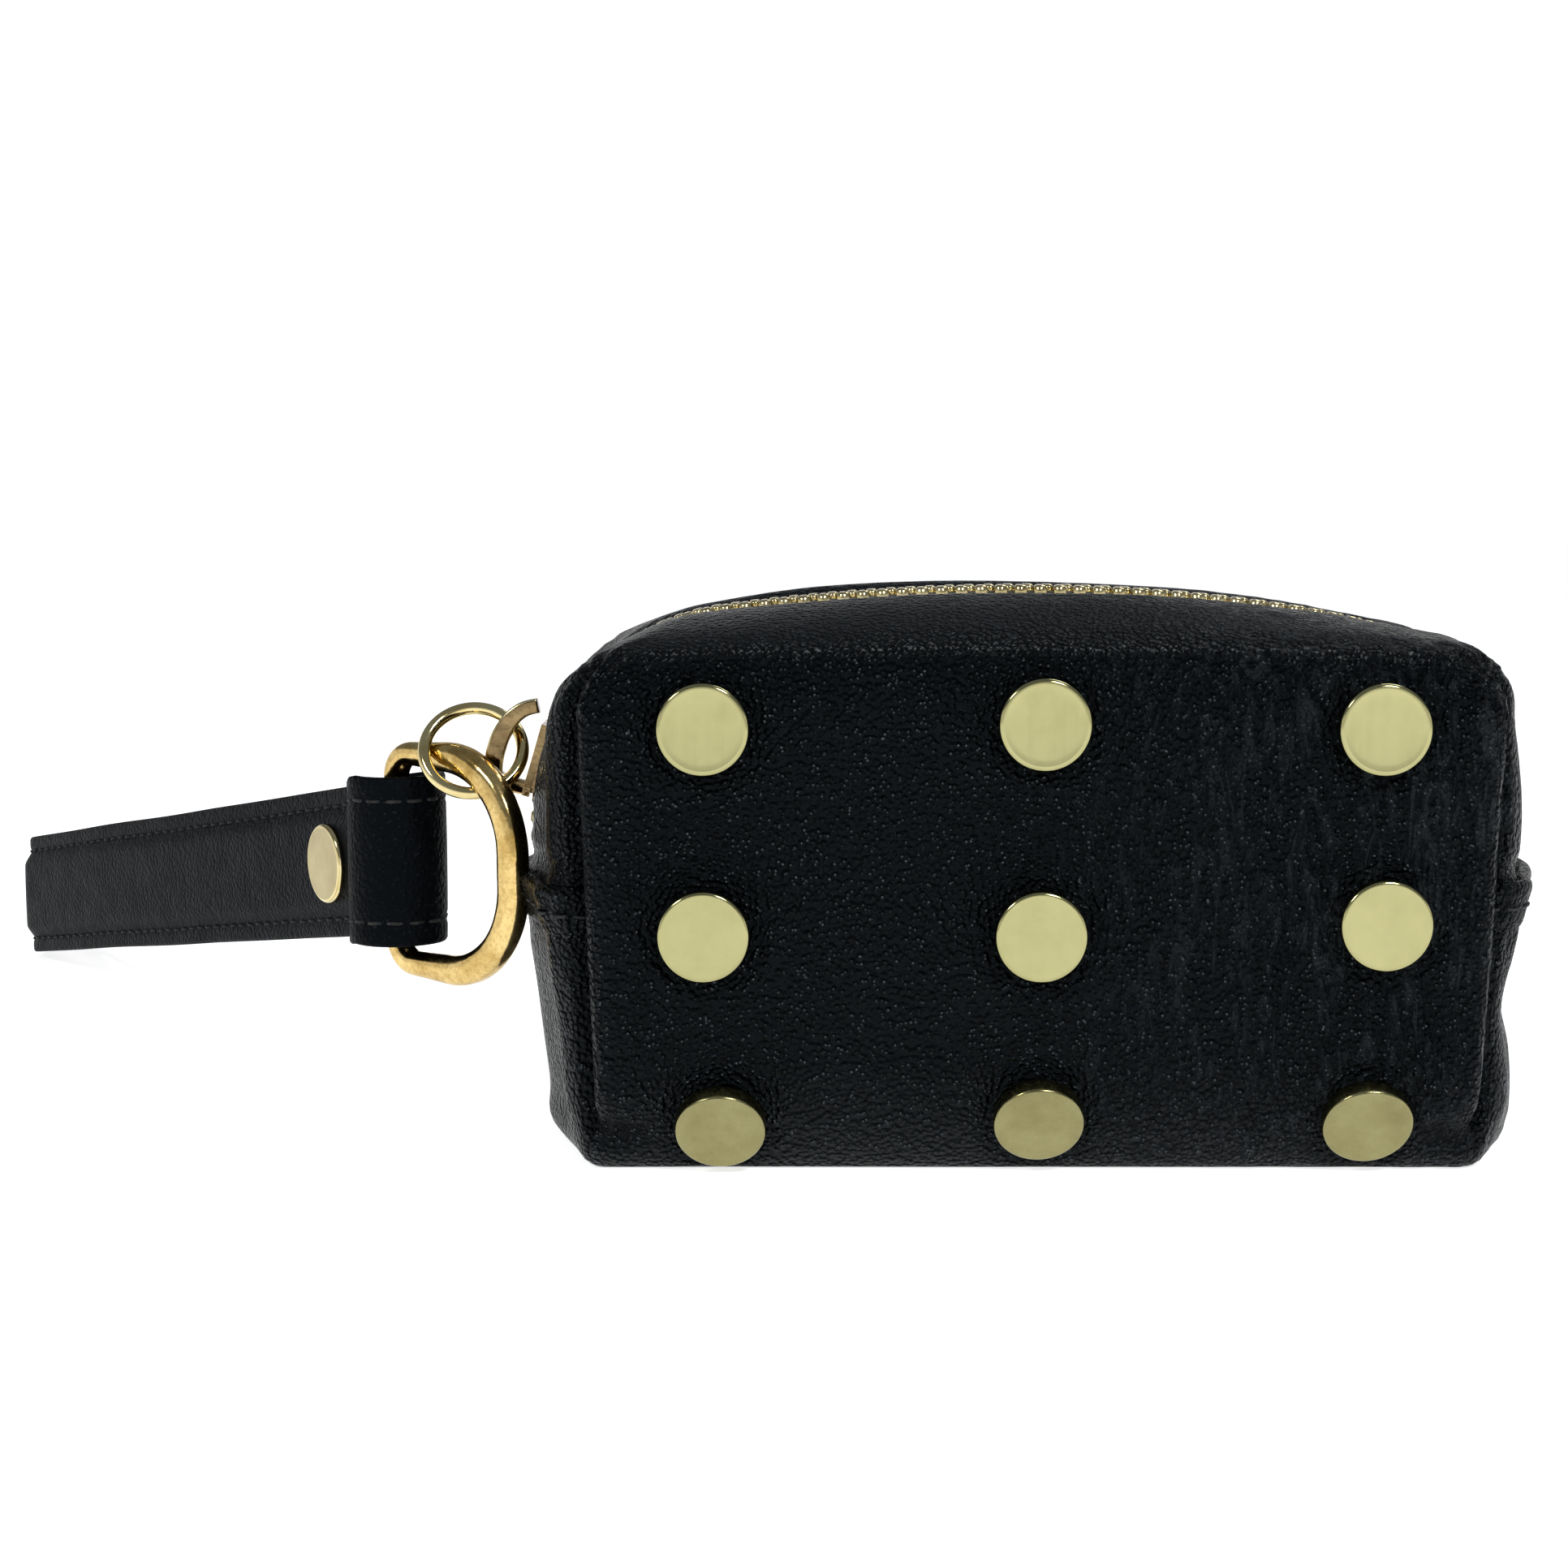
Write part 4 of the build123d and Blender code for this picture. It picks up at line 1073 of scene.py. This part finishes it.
FOLD_RADIUS, FOLD_HALF = 6.1, 11.7
fold_turn = arc(0, 0, FOLD_RADIUS, -62, -298, 60)
fold_start = [(8.6, -2.95), (6.6, -3.5), (4.8, -4.5)]
fold_stop = [(x, -y) for x, y in fold_start[::-1]]
fold_plan = resample(np.vstack([fold_start, fold_turn, fold_stop]), 120)
soften(fold_plan, 6)
outer = [
    (0.62 + 0.12 * (1 - (h / FOLD_HALF) ** 2) - 0.26 * bell(abs(h), FOLD_SEAM, 0.45), h)
    for h in np.linspace(-1, 1, 25) * (FOLD_HALF - 0.35)
]
tip = [(0.45, FOLD_HALF - 0.05), (0.0, FOLD_HALF), (-0.45, FOLD_HALF - 0.08)]
inner = [(-0.62, h) for h in np.linspace(FOLD_HALF - 0.5, -FOLD_HALF + 0.5, 9)]
fold_rings = sweep_upright(fold_plan, closed_section(outer, tip, inner), -1.0)
fold = loft_rings("strap_fold_leather", fold_rings, strap_leather)
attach(fold, "wrist_strap")
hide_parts("strap_fold", "strap_fold_core")
band_stitches(
    "strap_fold_stitches", fold_plan, FOLD_SEAM,
    offset=0.55, pitch=3.0, margin=0.8, length=2.2, thread=fold_thread, side=-1.0,
)

# ---- small metal pieces with rounded edges
WELD = 1e-6
FLAT_ANGLE = math.radians(1)
SHARP_ANGLE = math.radians(32)


def rounded_copy(node, width, material, rim, body):
    """A piece with a CAD node's shape, its sharp edges rounded over by width and given the rim's material, a
    paler gold that paints a highlight along them.
    """
    shape = bmesh.new()
    shape.from_mesh(frame["nodes"][node].data)
    bmesh.ops.remove_doubles(shape, verts=shape.verts, dist=WELD)
    bmesh.ops.dissolve_limit(shape, angle_limit=FLAT_ANGLE, verts=shape.verts, edges=shape.edges)
    sharp = [edge for edge in shape.edges if edge.is_manifold and edge.calc_face_angle() > SHARP_ANGLE]
    bmesh.ops.bevel(
        shape, geom=sharp, offset=width * MM, segments=3, profile=0.5,
        affect="EDGES", clamp_overlap=True, material=1,
    )
    mesh = bpy.data.meshes.new(node + "_rounded")
    shape.to_mesh(mesh)
    shape.free()
    mesh.shade_smooth()
    mesh.set_sharp_from_angle(angle=SHARP_ANGLE)
    mesh.materials.append(material)
    mesh.materials.append(rim)
    piece = new_object(node + "_rounded", mesh)
    piece.modifiers.new("flat_faces", "WEIGHTED_NORMAL").keep_sharp = True
    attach(piece, body)
    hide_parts(node)


# The second material paints a highlight on the rounded edges with a paler gold; the end stops have one gold
# for both.
rounded_copy("slider_body", 0.35, slider_gold, zip_metal, "zip_slider")
rounded_copy("zip_end_stops", 0.2, zip_metal, zip_metal, "root")
rounded_copy("strap_rivet", 0.2, rivet_gold, ring_gold, "wrist_strap")
rounded_copy("strap_rivet_cap", 0.2, rivet_gold, ring_gold, "wrist_strap")

# The crown is a bent bar over the slider's plate that holds the jump ring.
CROWN_POLAR = math.radians(163.5)
CROWN_LINE = [
    (-4.3, -0.1), (-4.45, 2.2), (-4.2, 4.5), (-1.6, 5.15), (1.2, 5.15), (4.0, 4.5), (6.0, 3.1), (6.9, 1.3),
]
CROWN_HALF_WIDTH = 1.0
CROWN_EDGE = 0.4
CROWN_THIN, CROWN_SWELL = 0.93, 0.35  # half thickness at the ends, and what the middle adds
crown_out = np.array([math.cos(CROWN_POLAR), 0, math.sin(CROWN_POLAR)])
crown_up = np.array([math.sin(CROWN_POLAR), 0, -math.cos(CROWN_POLAR)])
crown_pivot = joint("zip_slider_run")
cad_crown = np.array([vertex.co for vertex in frame["nodes"]["slider_crown"].data.vertices]) / MM
plate_top = ((cad_crown - crown_pivot) @ crown_out).min()
crown_line = resample(np.array(CROWN_LINE), 60)
soften(crown_line, 14)
crown_run = unit(np.gradient(crown_line, axis=0))
crown_rings = []
for k, (place, run) in enumerate(zip(crown_line, crown_run)):
    half = CROWN_THIN + CROWN_SWELL * bell(k, 30, 22)
    section = []
    for side, level, start in ((1, 1, 0), (-1, 1, 90), (-1, -1, 180), (1, -1, 270)):
        for turn in np.radians(np.linspace(start, start + 90, 5)):
            off = side * (half - CROWN_EDGE) + CROWN_EDGE * math.cos(turn)
            across = level * (CROWN_HALF_WIDTH - CROWN_EDGE) + CROWN_EDGE * math.sin(turn)
            up, out = place + np.array([-run[1], run[0]]) * off
            centre = crown_pivot + crown_up * up + crown_out * (plate_top + out)
            section.append(centre + np.array([0, across, 0]))
    crown_rings.append(section)
crown = loft_rings("slider_crown_bar", crown_rings, slider_gold)
# Its rounded edges take the paler zip gold, a painted highlight along them.
crown.data.materials.append(zip_metal)
for face in crown.data.polygons:
    face.material_index = int(0.15 < abs(face.normal.y) < 0.98)
crown.modifiers.new("flat_faces", "WEIGHTED_NORMAL")
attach(crown, "zip_slider")
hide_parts("slider_crown")

# ---- CAD pieces that show as they are
KEPT = {
    "jump_ring": ring_gold, "stud_nuts": stud_gold,
    "front_stiffener": board_felt, "back_stiffener": board_felt, "base_board": board_felt,
}
for node, material in KEPT.items():
    for slot in frame["nodes"][node].material_slots:
        slot.material = material

# ---- camera, floor and light
BAG_MIDDLE = (0, 0, 0.04)
# The sky turns from white to grey between these heights.
SKY = [(0.195, (1, 1, 1, 1)), (0.34, (0.2, 0.215, 0.235, 1))]

camera_data = bpy.data.cameras.new("camera")
camera_data.lens = 57.8
camera_data.sensor_width = 36.0
camera_data.clip_start = 0.01
camera = new_object("camera", camera_data)
camera.location = (-31.95 * MM, -338 * MM, 86.7 * MM)
camera.rotation_euler = (math.radians(90 - 6.7), 0, 0)
bpy.context.scene.camera = camera

floor_mesh = bpy.data.meshes.new("floor")
floor_mesh.from_pydata([(-4, -4, 0), (4, -4, 0), (4, 4, 0), (-4, 4, 0)], [], [(0, 1, 2, 3)])
floor = new_object("floor", floor_mesh)
paper = Nodes(bpy.data.materials.new("white_paper"))
paper.set(Base_Color=(0.93, 0.93, 0.93, 1), Roughness=0.9, Specular_IOR_Level=0.1)
paper.set(Emission_Color=(1, 1, 1, 1), Emission_Strength=0.74)
floor_mesh.materials.append(paper.finish())

sky = Nodes(bpy.data.worlds.new("studio"), "Background", "Generated")
height = sky.add("SeparateXYZ", {0: sky.place}).outputs["Z"]
sky.link(sky.ramp(height, SKY), sky.shader.inputs["Color"])
sky.set(Strength=1.02)
bpy.context.scene.world = sky.owner
bpy.context.scene.view_settings.view_transform = "Standard"


def softbox(name, place, size, power):
    """A rectangular light, in metres and watts, aimed at the bag."""
    light = bpy.data.lights.new(name, "AREA")
    light.shape = "RECTANGLE"
    light.size, light.size_y = size
    light.energy = power
    lamp = new_object(name, light)
    lamp.location = place
    lamp.rotation_euler = (Vector(BAG_MIDDLE) - Vector(place)).to_track_quat("-Z", "Y").to_euler()


softbox("key_light", (0.3, -0.6, 0.7), (0.2, 0.16), 4.0)
softbox("fill_light", (-0.6, -0.45, 0.6), (0.2, 0.16), 2.0)
softbox("back_light", (0.35, 0.6, 0.8), (0.4, 0.2), 1.5)
